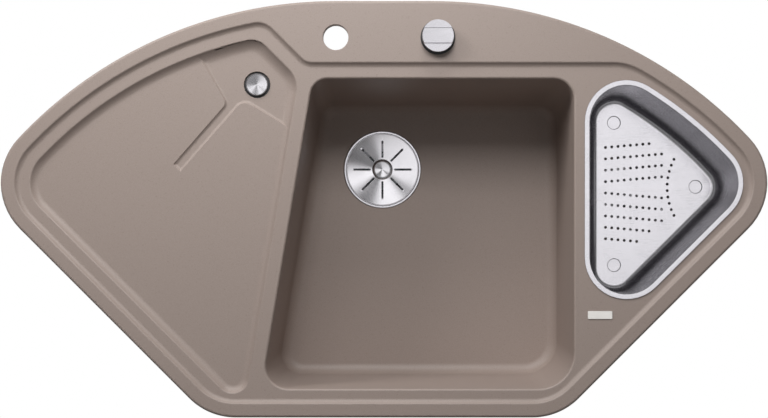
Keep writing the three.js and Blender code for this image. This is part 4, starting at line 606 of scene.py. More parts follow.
def points_tree():
    """Geometry nodes: sets a copy of one mesh on every vertex of the host and realises them."""
    tree = bpy.data.node_groups.new("copies_on_points", "GeometryNodeTree")
    for label, kind in (("Geometry", "NodeSocketGeometry"), ("Copy", "NodeSocketObject"),
                        ("Finish", "NodeSocketMaterial")):
        tree.interface.new_socket(label, in_out="INPUT", socket_type=kind)
    tree.interface.new_socket("Geometry", in_out="OUTPUT", socket_type="NodeSocketGeometry")
    source = tree.nodes.new("NodeGroupInput").outputs
    info = put(tree, "GeometryNodeObjectInfo", {"Object": source["Copy"]})
    copies = put(tree, "GeometryNodeInstanceOnPoints", {
        "Points": source["Geometry"], "Instance": info.outputs["Geometry"]})
    real = put(tree, "GeometryNodeRealizeInstances", {"Geometry": copies})
    done = put(tree, "GeometryNodeSetMaterial", {"Geometry": real, "Material": source["Finish"]})
    put(tree, "NodeGroupOutput", {"Geometry": done})
    return tree


REPEAT = repeat_tree()
ON_POINTS = points_tree()


def run_tree(host, tree, **inputs):
    modifier = host.modifiers.new("repeat", "NODES")
    modifier.node_group = tree
    for item in tree.interface.items_tree:
        if item.item_type == "SOCKET" and item.in_out == "INPUT" and item.name in inputs:
            modifier[item.identifier] = inputs[item.name]
    apply_modifiers(host)
    bpy.data.objects.remove(inputs["Copy"])
    return host


def around(name, copy, count, radius=0.0, start=0.0, finish="zinc_steel"):
    host = new_object(name, [(0.0, 0.0, 0.0)], [])
    return run_tree(host, REPEAT, Count=count, Radius=float(radius), Turn=start, Copy=copy,
                    Finish=MATERIALS[finish])


def at_points(name, copy, centres, finish="zinc_steel"):
    host = new_object(name, centres, [])
    return run_tree(host, ON_POINTS, Copy=copy, Finish=MATERIALS[finish])


# ------------------------------------------------------------------ stone body
DEPTH = 575.0
FRONT_HALF = 242.4
BACK_HALF = 67.8
BACK_ARC_R = 599.0
BACK_ARC_Y = DEPTH - BACK_ARC_R
FRONT = line(0, 0, 1, 0)
RIGHT_DIAGONAL = line(FRONT_HALF, 0, 1, 1)
RIGHT_ARC = arc(BACK_HALF, BACK_ARC_Y, BACK_ARC_R)
BACK = line(0, DEPTH, -1, 0)
LEFT_ARC = arc(-BACK_HALF, BACK_ARC_Y, BACK_ARC_R)
LEFT_DIAGONAL = line(-FRONT_HALF, 0, 1, -1)
EDGE_SIDES = [FRONT, RIGHT_DIAGONAL, RIGHT_ARC, BACK, LEFT_ARC, LEFT_DIAGONAL]
EDGE_RADII = [90, 90, 0, 0, 90, 90]
RIM_EDGE_R = 4
RIM_FOOT_EDGE = 0.6
RIM_SEAT_WIDTH = 20
CORE_TOP = 4
WALL = 9.0

# Steps: every step has the same slope and the same round upper edge
SLOPE = math.radians(54)
EDGE_R = 3.2
RIM_WIDTH = 18
LEVEL2 = 3.6
DRAINER_Z = -2.9
GUTTER_Z = -5.4
SLAB_BOTTOM = GUTTER_Z - WALL
LEDGE_FRONT_Y = 491.5
LEDGE_UNDER_Z = RIM_TOP - 12
NOTCH_X = -107.0
LEDGE_NOTCH = line(NOTCH_X, LEDGE_FRONT_Y, -1, 1)
RIM_STEP_RADII = [72, 72, 80, -20, 30, 72, 72]
POCKET_BEHIND = 8.6  # from the ledge's front edge to the hollow under it
POCKET_INSET = 26
POCKET_R = 10

# Drainer and gutter
SLANT = 0.166  # both walls beside the drainer lean by this share
DRAINER_RIGHT_X = -144.5
DRAINER_RIGHT_Y = 300
DRAINER_INSET = 39
DRAINER_NOTCH_INSET = 23
DRAINER_RADII = [40, 30, 50, 24]
GUTTER_TAIL_X, GUTTER_TAIL_Y = -293.3, 350.0
GUTTER_BEND_X, GUTTER_BEND_Y = -219.5, 434.5
GUTTER_PEAK_X = -195.6
GUTTER_WIDTH = 15.3
GUTTER_UPPER_WAY = (0.494, -0.87)
GUTTER_LOWER_WAY = (0.86, -0.51)
GUTTER_RADII = [-9, 2.5, 2.5, -14, 1, 1, 1]
GUTTER_EDGE_R = 1.2
GUTTER_FLARE = 10.5

# Holes
HOLES_Y = 524.5
TAP_X = -66.6
KNOB_X = 74.3
HOLE_R = 17.5
OVERFLOW_X, OVERFLOW_Y = -176.3, 460.7
OVERFLOW_HOLE_R = 18.2
OVERFLOW_SEAT = 4.5
THROAT_R = 14
DRAIN_BORE_R = 45.3
DRAIN_RECESS_R = 58.5
DRAIN_RECESS = 3.2
DRAIN_EDGE = 0.4

# Bowls
MAIN_X, MAIN_Y, MAIN_FLOOR = -5.0, 357.0, -182.0
MAIN_FRONT_Y, MAIN_BACK_Y = 39.5, 468
MAIN_LEFT_X, MAIN_RIGHT_X = -98.3, 262.5
MAIN_SIDES = [line(0, MAIN_FRONT_Y, 1, 0), line(MAIN_RIGHT_X, 0, 0, 1), line(0, MAIN_BACK_Y, -1, 0),
              line(MAIN_LEFT_X, MAIN_BACK_Y, -SLANT, -1)]
MAIN_RADII = [50, 28, 24, 32]
MAIN_DRAFTS = [0.055, 0.03, 0.08, 0.03]
MAIN_LIP = 3
SMALL_FLOOR = -122.0
SMALL_INSET = 33
SMALL_LEFT_X = 276.8
SMALL_SIDES = [inset(RIGHT_DIAGONAL, SMALL_INSET), inset(RIGHT_ARC, SMALL_INSET),
               line(SMALL_LEFT_X, 0, 0, -1)]
SMALL_RADII = [57, 58, 58]
SMALL_DRAFTS = [0.05] * 3
SMALL_SEAT = 5  # the part of the colander's flange that lies on the bowl's edge
SMALL_LIP = 1
CORNER_FALL = 0.18  # a corner's radius shrinks this much for each millimetre of depth
FLOOR_R = 16
SMALL_CORNERS = [corner[1] for corner in corners_of(SMALL_SIDES, SMALL_RADII)]
SMALL_X = sum(c[0] for c in SMALL_CORNERS) / 3
SMALL_Y = sum(c[1] for c in SMALL_CORNERS) / 3


def quarter(steps):
    """The angles of a quarter turn, from 0 on."""
    return [k / steps * math.pi / 2 for k in range(steps + 1)]


def step_down(name, sides, radii, top, bottom, edge_radius=EDGE_R, above=OVERCUT, steps=7):
    """A cutter for a step with a round upper edge and a hollow foot that runs out level."""
    foot_radius = (top - bottom) / (1 - math.cos(SLOPE)) - edge_radius
    width = (foot_radius + edge_radius) * math.sin(SLOPE)
    rings = []
    for k in range(steps + 1):
        angle = SLOPE * k / steps
        rings.append((outline(sides, radii, width - foot_radius * math.sin(angle)),
                      bottom + foot_radius * (1 - math.cos(angle))))
    for k in range(steps - 1, -1, -1):
        angle = SLOPE * k / steps
        rings.append((outline(sides, radii, edge_radius * math.sin(angle)),
                      top - edge_radius * (1 - math.cos(angle))))
    rings.append((outline(sides, radii, -above / math.tan(SLOPE)), top + above))
    return loft(name, rings)


def bowl_rings(sides, radii, drafts, floor, lip, foot, above, corner_fall=0.0, steps=7, wall_steps=5):
    """From the floor up its round edge and the leaning wall, over the lip and above it."""
    rings = []
    wall_low = floor + foot

    def ring_at(z, extra):
        fall = max(LEVEL2 - z, 0)
        moved = [inset(side, draft * fall + extra) for side, draft in zip(sides, drafts)]
        rings.append((outline(moved, [max(r - corner_fall * fall - extra, 1) for r in radii]), z))

    for angle in reversed(quarter(steps)):
        ring_at(floor + foot * (1 - math.sin(angle)), foot * (1 - math.cos(angle)))
    for k in range(1, wall_steps):
        ring_at(wall_low + (LEVEL2 - lip - wall_low) * k / wall_steps, 0)
    if lip:
        for angle in quarter(steps):
            ring_at(LEVEL2 - lip * (1 - math.sin(angle)), -lip * (1 - math.cos(angle)))
    ring_at(LEVEL2 + above, -lip)
    return rings


def main_bowl(name, wall):
    """The bowl's outside, or with no wall the cutter for its inside."""
    sides = [inset(side, -wall) for side in MAIN_SIDES]
    radii = [radius + wall for radius in MAIN_RADII]
    lip, above = (0, -WALL) if wall else (MAIN_LIP, OVERCUT)
    return loft(name, bowl_rings(sides, radii, MAIN_DRAFTS, MAIN_FLOOR - wall, lip, FLOOR_R + wall, above))


def small_bowl(name, wall):
    sides = [inset(side, SMALL_SEAT - wall) for side in SMALL_SIDES]
    radii = [radius - SMALL_SEAT + wall for radius in SMALL_RADII]
    lip, above = (0, -WALL) if wall else (SMALL_LIP, OVERCUT)
    return loft(name, bowl_rings(sides, radii, SMALL_DRAFTS, SMALL_FLOOR - wall, lip, FLOOR_R + wall, above,
                                 CORNER_FALL))


def rim_slab():
    rings = [(outline(EDGE_SIDES, EDGE_RADII, RIM_FOOT_EDGE), 0.0),
             (outline(EDGE_SIDES, EDGE_RADII), RIM_FOOT_EDGE)]
    for angle in quarter(8):
        rings.append((outline(EDGE_SIDES, EDGE_RADII, RIM_EDGE_R * (1 - math.cos(angle))),
                      RIM_TOP - RIM_EDGE_R * (1 - math.sin(angle))))
    core = prism("core", outline(EDGE_SIDES, EDGE_RADII, RIM_SEAT_WIDTH), SLAB_BOTTOM, CORE_TOP)
    return join(loft("stone", rings), core)


def rim_step():
    sides = [*(inset(side, RIM_WIDTH) for side in (FRONT, RIGHT_DIAGONAL, RIGHT_ARC)),
             line(0, LEDGE_FRONT_Y, -1, 0), LEDGE_NOTCH,
             *(inset(side, RIM_WIDTH) for side in (LEFT_ARC, LEFT_DIAGONAL))]
    return step_down("rim_step", sides, RIM_STEP_RADII, RIM_TOP, LEVEL2)


DRAINER_SIDES = [line(DRAINER_RIGHT_X, DRAINER_RIGHT_Y, SLANT, 1), inset(LEDGE_NOTCH, DRAINER_NOTCH_INSET),
                 inset(LEFT_ARC, DRAINER_INSET), inset(LEFT_DIAGONAL, DRAINER_INSET)]


def gutter_step():
    """The gutter from its tail past the bend into the open basin round the overflow."""
    run_x, run_y = GUTTER_BEND_X - GUTTER_TAIL_X, GUTTER_BEND_Y - GUTTER_TAIL_Y
    lower = inset(line(GUTTER_TAIL_X, GUTTER_TAIL_Y, run_x, run_y), -GUTTER_WIDTH)
    peak_y = lower[2] + (GUTTER_PEAK_X - lower[1]) * lower[4] / lower[3]
    sides = [line(GUTTER_BEND_X, GUTTER_BEND_Y, *GUTTER_UPPER_WAY),
             line(GUTTER_TAIL_X, GUTTER_TAIL_Y, -run_x, -run_y), line(GUTTER_TAIL_X, GUTTER_TAIL_Y, 1, -1),
             lower, line(GUTTER_PEAK_X, peak_y, *GUTTER_LOWER_WAY), line(0, 0, 0, 1), line(0, DEPTH, -1, 0)]
    gutter = step_down("gutter", sides, GUTTER_RADII, DRAINER_Z, GUTTER_Z, GUTTER_EDGE_R, GUTTER_FLARE)
    basin = step_down("basin", DRAINER_SIDES, DRAINER_RADII, LEVEL2, GUTTER_Z)
    return carve(gutter, basin, operation="INTERSECT")


def ledge_pocket():
    under = LEDGE_FRONT_Y + POCKET_BEHIND
    sides = [line(0, under, 1, 0), *(inset(side, POCKET_INSET) for side in (RIGHT_ARC, BACK, LEFT_ARC)),
             line(NOTCH_X + POCKET_INSET, under, 1, -1)]
    shape = outline(sides, [POCKET_R, 0, 0, POCKET_R, POCKET_R])
    return prism("pocket", shape, SLAB_BOTTOM - OVERCUT, LEDGE_UNDER_Z)


def hole_tool(name, x, y, low, high, radius, round_over=0.8):
    """A cutter for a round hole whose upper edge is rounded over."""
    profile = [(0, low), (radius, low)]
    for angle in quarter(5):
        profile.append((radius + round_over * (1 - math.cos(angle)),
                        high - round_over * (1 - math.sin(angle))))
    profile += [(radius + round_over, high + OVERCUT), (0, high + OVERCUT)]
    return shift(turned(name, profile, 96, 0.0), x, y)


def drain_tool(name, x, y, floor):
    """A cutter for a drain's hole with its recess for the steel flange."""
    low, high, seat = floor - WALL - OVERCUT, floor + OVERCUT, floor - DRAIN_RECESS
    profile = [(0, low), (DRAIN_BORE_R, low), (DRAIN_BORE_R, seat), (DRAIN_RECESS_R, seat),
               (DRAIN_RECESS_R, floor - DRAIN_EDGE), (DRAIN_RECESS_R + DRAIN_EDGE, floor),
               (DRAIN_RECESS_R + DRAIN_EDGE, high), (0, high)]
    return shift(turned(name, profile, 128, 0.0), x, y)


# Lugs under the rim that hold the fixing clips: (place, x, y, turn)
CLIP_INSET = 20
CLIP_ARC_ANGLE = math.radians(52)
CLIP_DIAGONAL_RUN = 200
CLIPS = []
for side_name, sign in (("left", -1), ("right", 1)):
    clip_reach = BACK_ARC_R - CLIP_INSET
    CLIPS.append((side_name + "_back", sign * (BACK_HALF + clip_reach * math.cos(CLIP_ARC_ANGLE)),
                  BACK_ARC_Y + clip_reach * math.sin(CLIP_ARC_ANGLE), sign * (CLIP_ARC_ANGLE - math.pi / 2)))
    _, edge_x, edge_y, edge_dx, edge_dy = inset(RIGHT_DIAGONAL, CLIP_INSET)
    CLIPS.append((side_name + "_front", sign * (edge_x + edge_dx * CLIP_DIAGONAL_RUN),
                  edge_y + edge_dy * CLIP_DIAGONAL_RUN, -sign * 3 * math.pi / 4))
LUG_HALF = 15
LUG_DEPTH = 10
LUG_DROP = 14
LUG_ROOT = 4.5
TONGUE_TOP = SLAB_BOTTOM - 7
TONGUE_HALF = 9
TONGUE_DEPTH = 5.5
CLIP_SHEET = 2


def clip_lug(x, y, angle):
    lug = block("lug", -LUG_HALF, LUG_HALF, -LUG_DEPTH, 0, SLAB_BOTTOM - LUG_DROP, SLAB_BOTTOM + LUG_ROOT)
    return shift(spin(lug, angle), x, y)


def clip_slot(x, y, angle):
    half = TONGUE_HALF + GAP
    low, high = TONGUE_TOP - CLIP_SHEET - GAP, TONGUE_TOP + GAP
    slot = block("slot", -half, half, -TONGUE_DEPTH - GAP, OVERCUT, low, high)
    return shift(spin(slot, angle), x, y)


def stone_body():
    body = rim_slab()
    join(body, main_bowl("main_outside", WALL), small_bowl("small_outside", WALL))
    join(body, *(clip_lug(x, y, angle) for _, x, y, angle in CLIPS))
    carve(body, rim_step(), step_down("drainer", DRAINER_SIDES, DRAINER_RADII, LEVEL2, DRAINER_Z),
          gutter_step(), main_bowl("main_inside", 0), small_bowl("small_inside", 0), ledge_pocket())
    below, seat = SLAB_BOTTOM - OVERCUT, GUTTER_Z - OVERFLOW_SEAT
    carve(body, *(hole_tool("ledge_hole", x, HOLES_Y, below, RIM_TOP, HOLE_R) for x in (TAP_X, KNOB_X)))
    carve(body, hole_tool("throat", OVERFLOW_X, OVERFLOW_Y, below, seat, THROAT_R, round_over=0.3),
          hole_tool("overflow_seat", OVERFLOW_X, OVERFLOW_Y, seat, GUTTER_Z, OVERFLOW_HOLE_R, round_over=0.6),
          drain_tool("main_hole", MAIN_X, MAIN_Y, MAIN_FLOOR),
          drain_tool("small_hole", SMALL_X, SMALL_Y, SMALL_FLOOR))
    carve(body, *(clip_slot(x, y, angle) for _, x, y, angle in CLIPS))
    return body


build(stone_body(), "sink_body")

# ------------------------------------------------------------------ colander
COLANDER_DEPTH = 95
COLANDER_TOP = LEVEL2 + GAP
COLANDER_BASE = COLANDER_TOP - COLANDER_DEPTH
COLANDER_FLANGE = 7.5
COLANDER_FLOOR_R = 10
COLANDER_BEND_R = 1.5  # where the wall turns out into the flange
COLANDER_DRAFTS = (0.11, 0.11, 0.137)
COLANDER_WALL = COLANDER_DEPTH - COLANDER_FLOOR_R - COLANDER_BEND_R
SHEET = 1.2
FLANGE_INNER_EDGE = 1.0
FLANGE_OUTER_EDGE = 0.6
FLANGE_UNDER = 5.4  # the flange's flat underside ends this far in
FOOT_OUT = 10  # from a corner's centre to its foot's centre
FOOT_R = 9.9
FOOT_TAPER = 0.6
FOOT_DROP = 2
FOOT_SINK = 0.4
FOOT_MOUTH = 0.4
PERFORATION_R = 2.1
HOLE_PITCH = 9
HOLE_ROW_PITCH = 16.5
HOLE_ROWS = (8, 10, 10, 10, 10, 10, 10, 8, 6)  # holes in each row, from the back
HOLE_ROW_RISE = 0.087  # the rows fan out from the middle
HOLE_FIRST_GAP = 42.3
HOLE_ARC_R = 88  # curved row in front of the tip
HOLE_ARC_GAP = 31
HOLE_ARC_COUNT = 10
HOLE_ARC_STEP = math.radians(6.1)
HOLE_EDGE_GAP = 6  # least distance of a hole to the rounded base edge


def colander_rings():
    """From the middle of the inside base up the wall, over the flange and down the outside."""
    rings = []

    def ring_at(z, distance):
        moved = [inset(side, distance) for side in SMALL_SIDES]
        rings.append((outline(moved, [max(r - distance, 1) for r in SMALL_RADII]), z))

    def wall_at(z, extra, thickness):
        fall = max(COLANDER_TOP - z, 0)
        near = COLANDER_FLANGE - thickness
        moved = [inset(side, near + draft * fall + extra)
                 for side, draft in zip(SMALL_SIDES, COLANDER_DRAFTS)]
        radii = [max(r - near - CORNER_FALL * fall - extra, 1) for r in SMALL_RADII]
        rings.append((outline(moved, radii), z))

    for angle in reversed(quarter(8)):
        wall_at(COLANDER_BASE + COLANDER_FLOOR_R * (1 - math.sin(angle)),
                COLANDER_FLOOR_R * (1 - math.cos(angle)), 0)
    for k in range(1, 5):
        wall_at(COLANDER_BASE + COLANDER_FLOOR_R + COLANDER_WALL * k / 5, 0, 0)
    flange_top = COLANDER_TOP + SHEET
    for angle in quarter(4):
        ring_at(flange_top - FLANGE_INNER_EDGE * (1 - math.sin(angle)),
                COLANDER_FLANGE - FLANGE_INNER_EDGE * (1 - math.cos(angle)))
    for angle in quarter(4):
        ring_at(flange_top - FLANGE_OUTER_EDGE * (1 - math.cos(angle)),
                FLANGE_OUTER_EDGE * (1 - math.sin(angle)))
    ring_at(COLANDER_TOP, 0.0)
    ring_at(COLANDER_TOP, FLANGE_UNDER)
    for k in range(5):
        wall_at(COLANDER_TOP - COLANDER_BEND_R - COLANDER_WALL * k / 5, 0, SHEET)
    for angle in quarter(8):
        wall_at(COLANDER_BASE - SHEET + (COLANDER_FLOOR_R + SHEET) * (1 - math.sin(angle)),
                (COLANDER_FLOOR_R + SHEET) * (1 - math.cos(angle)), SHEET)
    return rings


def hole_centres():
    """Rows that fan out from the left wall, and a curved row before the tip, as far as the base is flat."""
    tip_x, middle = SMALL_CORNERS[0]
    centres = []
    for row, count in enumerate(HOLE_ROWS):
        y = middle + (len(HOLE_ROWS) // 2 - row - 0.5) * HOLE_ROW_PITCH
        rise = HOLE_ROW_RISE if row < len(HOLE_ROWS) // 2 else -HOLE_ROW_RISE
        centres += [(SMALL_LEFT_X + HOLE_FIRST_GAP + k * HOLE_PITCH, y + rise * k * HOLE_PITCH)
                    for k in range(count)]
    for k in range(HOLE_ARC_COUNT):
        angle = (k - (HOLE_ARC_COUNT - 1) / 2) * HOLE_ARC_STEP
        centres.append((tip_x + HOLE_ARC_R - HOLE_ARC_GAP - HOLE_ARC_R * math.cos(angle),
                        middle + HOLE_ARC_R * math.sin(angle)))
    distance = COLANDER_FLANGE + COLANDER_DRAFTS[0] * COLANDER_DEPTH + COLANDER_FLOOR_R + HOLE_EDGE_GAP
    safe = outline([inset(s, distance) for s in SMALL_SIDES], [max(r - distance, 1) for r in SMALL_RADII])

    def inside(point):
        return all((b[0] - a[0]) * (point[1] - a[1]) - (b[1] - a[1]) * (point[0] - a[0]) > 0
                   for a, b in zip(safe, safe[1:] + safe[:1]))

    return [point for point in centres if inside(point)]


def colander_basket():
    basket = loft("colander", colander_rings())
    low, top = COLANDER_BASE - SHEET - FOOT_DROP, COLANDER_BASE - FOOT_SINK
    outer, inner = FOOT_R + SHEET, FOOT_R - FOOT_TAPER
    mouth = COLANDER_BASE + 3
    under, over = [], []
    for corner in SMALL_CORNERS:
        away = Vector((corner[0] - SMALL_X, corner[1] - SMALL_Y)).normalized() * FOOT_OUT
        place = (corner[0] + away.x, corner[1] + away.y)
        foot = turned("foot", [(0, low), (FOOT_R + 0.5, low), (outer, top), (0, top)], 64, 0.6)
        hollow = turned("foot_hollow", [(0, low + SHEET), (inner, low + SHEET), (FOOT_R, COLANDER_BASE),
                                        (FOOT_R + FOOT_MOUTH, mouth), (0, mouth)], 64, 0.5)
        under.append(shift(foot, *place))
        over.append(shift(hollow, *place))
    join(basket, *under)
    carve(basket, *over)
    cutter = rod("hole", PERFORATION_R, COLANDER_BASE - 6, COLANDER_BASE + 6, 16)
    carve(basket, at_points("holes", cutter, [(x, y, 0.0) for x, y in hole_centres()]))
    return basket


build(colander_basket(), "colander", sharp=40.0)

# ------------------------------------------------------------------ drains
# Heights count from the bowl's floor.
FLANGE_R = 58
FLANGE_LOW = -DRAIN_RECESS + 0.9 + 2 * GAP
FLANGE_HIGH = FLANGE_LOW + 2.1
FLANGE_LIP_IN = 55
LEDGE_HIGH = FLANGE_LOW + 1.1
LEDGE_IN = 54.4
CUP_R = 44.5
CUP_BORE = 43.0
CUP_WALL_END = -36
CUP_FLOOR = -41
CUP_STUB_R = 22.5
CUP_STUB_BORE = 21
CUP_STUB_END = -47
CUP_SHEET = 1.2
DISH_TOP = LEDGE_HIGH + GAP + SHEET
DISH_LOW = DISH_TOP - 0.6
DISC_R = 53.6
DISC_UNDER_R = 42.5
DISC_FLAT_R = 34
DISC_FLAT_RISE = 0.24
SLOT_COUNT = 8
SLOT_HALF = 1.6
SLOT_START_R, SLOT_END_R = 17.4, 46.0
STEM_R = 4
STRAINER_KNOB_R = 15.4
STEM_END = -44
PLUG_R = 28.5
PLUG_TOP = -37 + 2.6
PLUG_LOW = PLUG_TOP - 1.5
PLUG_SEAL_HEIGHT = 2.8
SEAL_IN = PLUG_R - 3.2
GASKET_TOP, GASKET_LOW = -9.3, -11.3
LOCKNUT_TOP, LOCKNUT_LOW = -11.6, -21.6
SEAL_OUT = 57
WASTE_TOP = -26
WASTE_R = 49
WASTE_CONE_TOP = -66
WASTE_CONE_LOW = -80
WASTE_END = -94
PIPE_R, PIPE_BORE = 20, 17.6

# Lifting gear inside the main waste body
SHAFT_Z = -60
SHAFT_R = 3.5
SHAFT_BORE = 3.8
PIN_R = 3
PIN_BORE = 3.3
PIN_TOP = STEM_END - GAP
GUIDE_HUB_R = 6.5
CRANK_TILT = math.radians(11.5)
CRANK_LENGTH = 20
CRANK_OUT = CRANK_LENGTH * math.cos(CRANK_TILT)
CRANK_DROP = CRANK_LENGTH * math.sin(CRANK_TILT)
BOX_START = math.sqrt(WASTE_R ** 2 - CRANK_OUT ** 2) + 4


def ring(name, inner, outer, low, high, edge=0.3, segments=96):
    return turned(name, [(inner, low), (outer, low), (outer, high), (inner, high)], segments, edge)


def drain_cup():
    return turned("cup", [
        (FLANGE_R, FLANGE_LOW), (FLANGE_R, FLANGE_HIGH - 0.3), (FLANGE_R - 0.8, FLANGE_HIGH),
        (FLANGE_LIP_IN, FLANGE_HIGH), (LEDGE_IN, LEDGE_HIGH), (CUP_BORE + 0.4, LEDGE_HIGH),
        (CUP_BORE, LEDGE_HIGH - 1), (CUP_BORE, CUP_WALL_END), (CUP_STUB_BORE, CUP_FLOOR),
        (CUP_STUB_BORE, CUP_STUB_END), (CUP_STUB_R, CUP_STUB_END), (CUP_STUB_R, CUP_FLOOR - CUP_SHEET),
        (CUP_R, CUP_WALL_END - CUP_SHEET), (CUP_R, FLANGE_LOW)], 128, 0.35)


def ribbed_nut(name, bore, outer, low, high, ribs, finish, rib_depth=1.6):
    """A nut's collar with grip ribs set around it."""
    collar = ring(name, bore, outer - rib_depth, low, high, 0.9, 72)
    rib = block("rib", -rib_depth - 0.6, 0, -1.9, 1.9, low + 1.4, high - 1.4)
    copies = around("ribs", bevelled(rib, 0.7), ribs, outer, 0.0, finish)
    return gather(name, [collar, copies])


def waste_shell():
    inside = CUP_R + GAP
    return turned("waste", [
        (inside, WASTE_TOP), (inside, WASTE_CONE_TOP), (PIPE_BORE, WASTE_CONE_LOW), (PIPE_BORE, WASTE_END),
        (PIPE_R, WASTE_END), (PIPE_R, WASTE_CONE_LOW - 3), (WASTE_R, WASTE_CONE_TOP - 2),
        (WASTE_R, WASTE_TOP)], 96, 1.2)


def spoked_hub(bore, hub, reach, low, high):
    """Three spokes that carry a small hub in the middle of a round passage."""
    spoke = bevelled(block("spoke", (hub + bore) / 2, reach, -1.5, 1.5, low, high), 0.3)
    return gather("hub", [ring("hub", bore, hub, low, high, 0.3, 48), around("spokes", spoke, 3)])


def strainer_disc():
    """The dished disc that lies on the flange's ledge, with slots round its knob."""
    inner, knob_foot, under = STEM_R + GAP, STRAINER_KNOB_R + 1, LEDGE_HIGH + GAP
    disc = turned("disc", [
        (inner, DISH_LOW), (knob_foot, DISH_LOW), (DISC_FLAT_R, DISH_LOW + DISC_FLAT_RISE),
        (DISC_R - 0.4, DISH_TOP), (DISC_R, DISH_TOP - 0.4), (DISC_R, under), (DISC_UNDER_R, under),
        (knob_foot, DISH_LOW - SHEET), (inner, DISH_LOW - SHEET)], 128, 0.5)
    start, end = SLOT_START_R + SLOT_HALF, SLOT_END_R - SLOT_HALF
    shape = [*sweep((start, 0), (start, SLOT_HALF), (start, -SLOT_HALF), 8),
             *sweep((end, 0), (end, -SLOT_HALF), (end, SLOT_HALF), 8)]
    slot = prism("slot", shape, DISH_LOW - OVERCUT, DISH_TOP + OVERCUT)
    return carve(disc, around("slots", slot, SLOT_COUNT))


def strainer_knob():
    low, r = DISH_LOW + GAP, STRAINER_KNOB_R
    profile = [(0, low), (r, low), (r, 2.6), (r - 0.8, 3.7), (r - 2.8, 4.35), (r - 5, 4.6), (0, 4.3)]
    return turned("knob", profile, 96, 0.5, 4)


def strainer_stem():
    neck, seat = SEAL_IN - GAP, PLUG_LOW - PLUG_SEAL_HEIGHT
    return turned("stem", [
        (0, STEM_END), (STEM_R, STEM_END), (STEM_R, seat), (neck, seat), (neck, PLUG_LOW), (PLUG_R, PLUG_LOW),
        (PLUG_R, PLUG_TOP), (STEM_R, PLUG_TOP + 1.2), (STEM_R, DISH_LOW), (0, DISH_LOW)], 72, 0.4)


def build_drain(prefix, place):
    def fit(piece, name, material=None):
        build(piece, prefix + name, material, place)

    fit(drain_cup(), "_drain_cup", "polished_steel")
    fit(ring("seal", DRAIN_BORE_R, SEAL_OUT, -DRAIN_RECESS + GAP, FLANGE_LOW - GAP), "_flange_seal")
    fit(ring("gasket", DRAIN_BORE_R, SEAL_OUT, GASKET_LOW, GASKET_TOP, 0.5), "_gasket")
    fit(ribbed_nut("locknut", CUP_R + GAP, SEAL_OUT, LOCKNUT_LOW, LOCKNUT_TOP, 12, "black_plastic"),
        "_locknut")
    fit(strainer_disc(), "_strainer_disc", prefix + "_disc")
    fit(strainer_knob(), "_strainer_knob", prefix + "_disc")
    fit(strainer_stem(), "_strainer_stem")
    fit(ring("plug_seal", SEAL_IN, PLUG_R, PLUG_LOW - PLUG_SEAL_HEIGHT - GAP, PLUG_LOW - GAP, 0.8),
        "_strainer_seal")


def main_waste_body():
    """A waste body with a port in its side for the crank's shaft, and a guide for the lift pin."""
    port = shift(along_y(rod("port", 8, BOX_START - 16, BOX_START, 48, 0.6)), -CRANK_OUT, 0, SHAFT_Z)
    body = join(waste_shell(), port)
    hollow = rod("hollow", CUP_R + GAP, WASTE_CONE_TOP, WASTE_TOP, 96)
    shaft = shift(along_y(rod("shaft", SHAFT_BORE, 0, BOX_START + OVERCUT, 32)), -CRANK_OUT, 0, SHAFT_Z)
    carve(body, hollow, shaft)
    return gather("waste", [body, spoked_hub(PIN_BORE, GUIDE_HUB_R, 46, PIN_TOP - 7.5, PIN_TOP - 3)])


MAIN_PLACE = (MAIN_X, MAIN_Y, MAIN_FLOOR)
SMALL_PLACE = (SMALL_X, SMALL_Y, SMALL_FLOOR)
build_drain("main", MAIN_PLACE)
build_drain("small", SMALL_PLACE)
build(waste_shell(), "small_waste_body", None, SMALL_PLACE)
build(main_waste_body(), "main_waste_body", None, MAIN_PLACE)

# ------------------------------------------------------------------ lifting gear
DRUM_R = 10
DRUM_HALF = 2.5
BOX_HALF = 14
BOX_WALL = 2.5
BOX_DEPTH = 18
BOX_HOLLOW_R = 11.5
DRUM_START = BOX_START + GAP + BOX_WALL + 2
DRUM_MIDDLE = DRUM_START + DRUM_HALF
BOX_END = BOX_START + GAP + BOX_DEPTH
CABLE_UP = 9  # how far the cable's port lies over the shaft
CABLE_BORE = 3.3
CRANK_PLACE = (MAIN_X - CRANK_OUT, MAIN_Y, MAIN_FLOOR + SHAFT_Z)


def lift_crank():
    """Shaft, arm and tip in one: the tip lies under the lift pin."""
    shaft = along_y(rod("shaft", SHAFT_R, -4, DRUM_START + 5, 48, 0.4))
    arm = tilt_y(bevelled(block("arm", 0, CRANK_LENGTH, -3, 3, -2, 2), 0.5), CRANK_TILT)
    tip = tilt_y(shift(along_y(rod("tip", PIN_R, -4, 4, 48, 0.4)), CRANK_LENGTH, 0, 0), CRANK_TILT)
    return join(shaft, arm, tip)


def lift_drum():
    wheel = turned("drum", [(SHAFT_BORE, -DRUM_HALF), (DRUM_R, -DRUM_HALF), (DRUM_R - 1.2, 0),
                            (DRUM_R, DRUM_HALF), (SHAFT_BORE, DRUM_HALF)], 64, 0.3)
    return shift(along_y(wheel), 0, DRUM_MIDDLE, 0)


def lift_housing():
    start = BOX_START + GAP
    shell = bevelled(block("housing", -BOX_HALF, BOX_HALF, start, BOX_END, -BOX_HALF, BOX_HALF), 1.0, 3)
    return carve(shell, along_y(rod("hollow", BOX_HOLLOW_R, start + BOX_WALL, BOX_END + OVERCUT, 64)),
                 along_y(rod("shaft", SHAFT_BORE, start - OVERCUT, BOX_END, 32)),
                 shift(along_x(rod("port", CABLE_BORE, 0, BOX_HALF + OVERCUT, 32)), 0, DRUM_MIDDLE, CABLE_UP))


def lift_housing_cover():
    start = BOX_END + GAP
    return bevelled(block("cover", -BOX_HALF, BOX_HALF, start, start + BOX_WALL, -BOX_HALF, BOX_HALF), 0.8, 3)


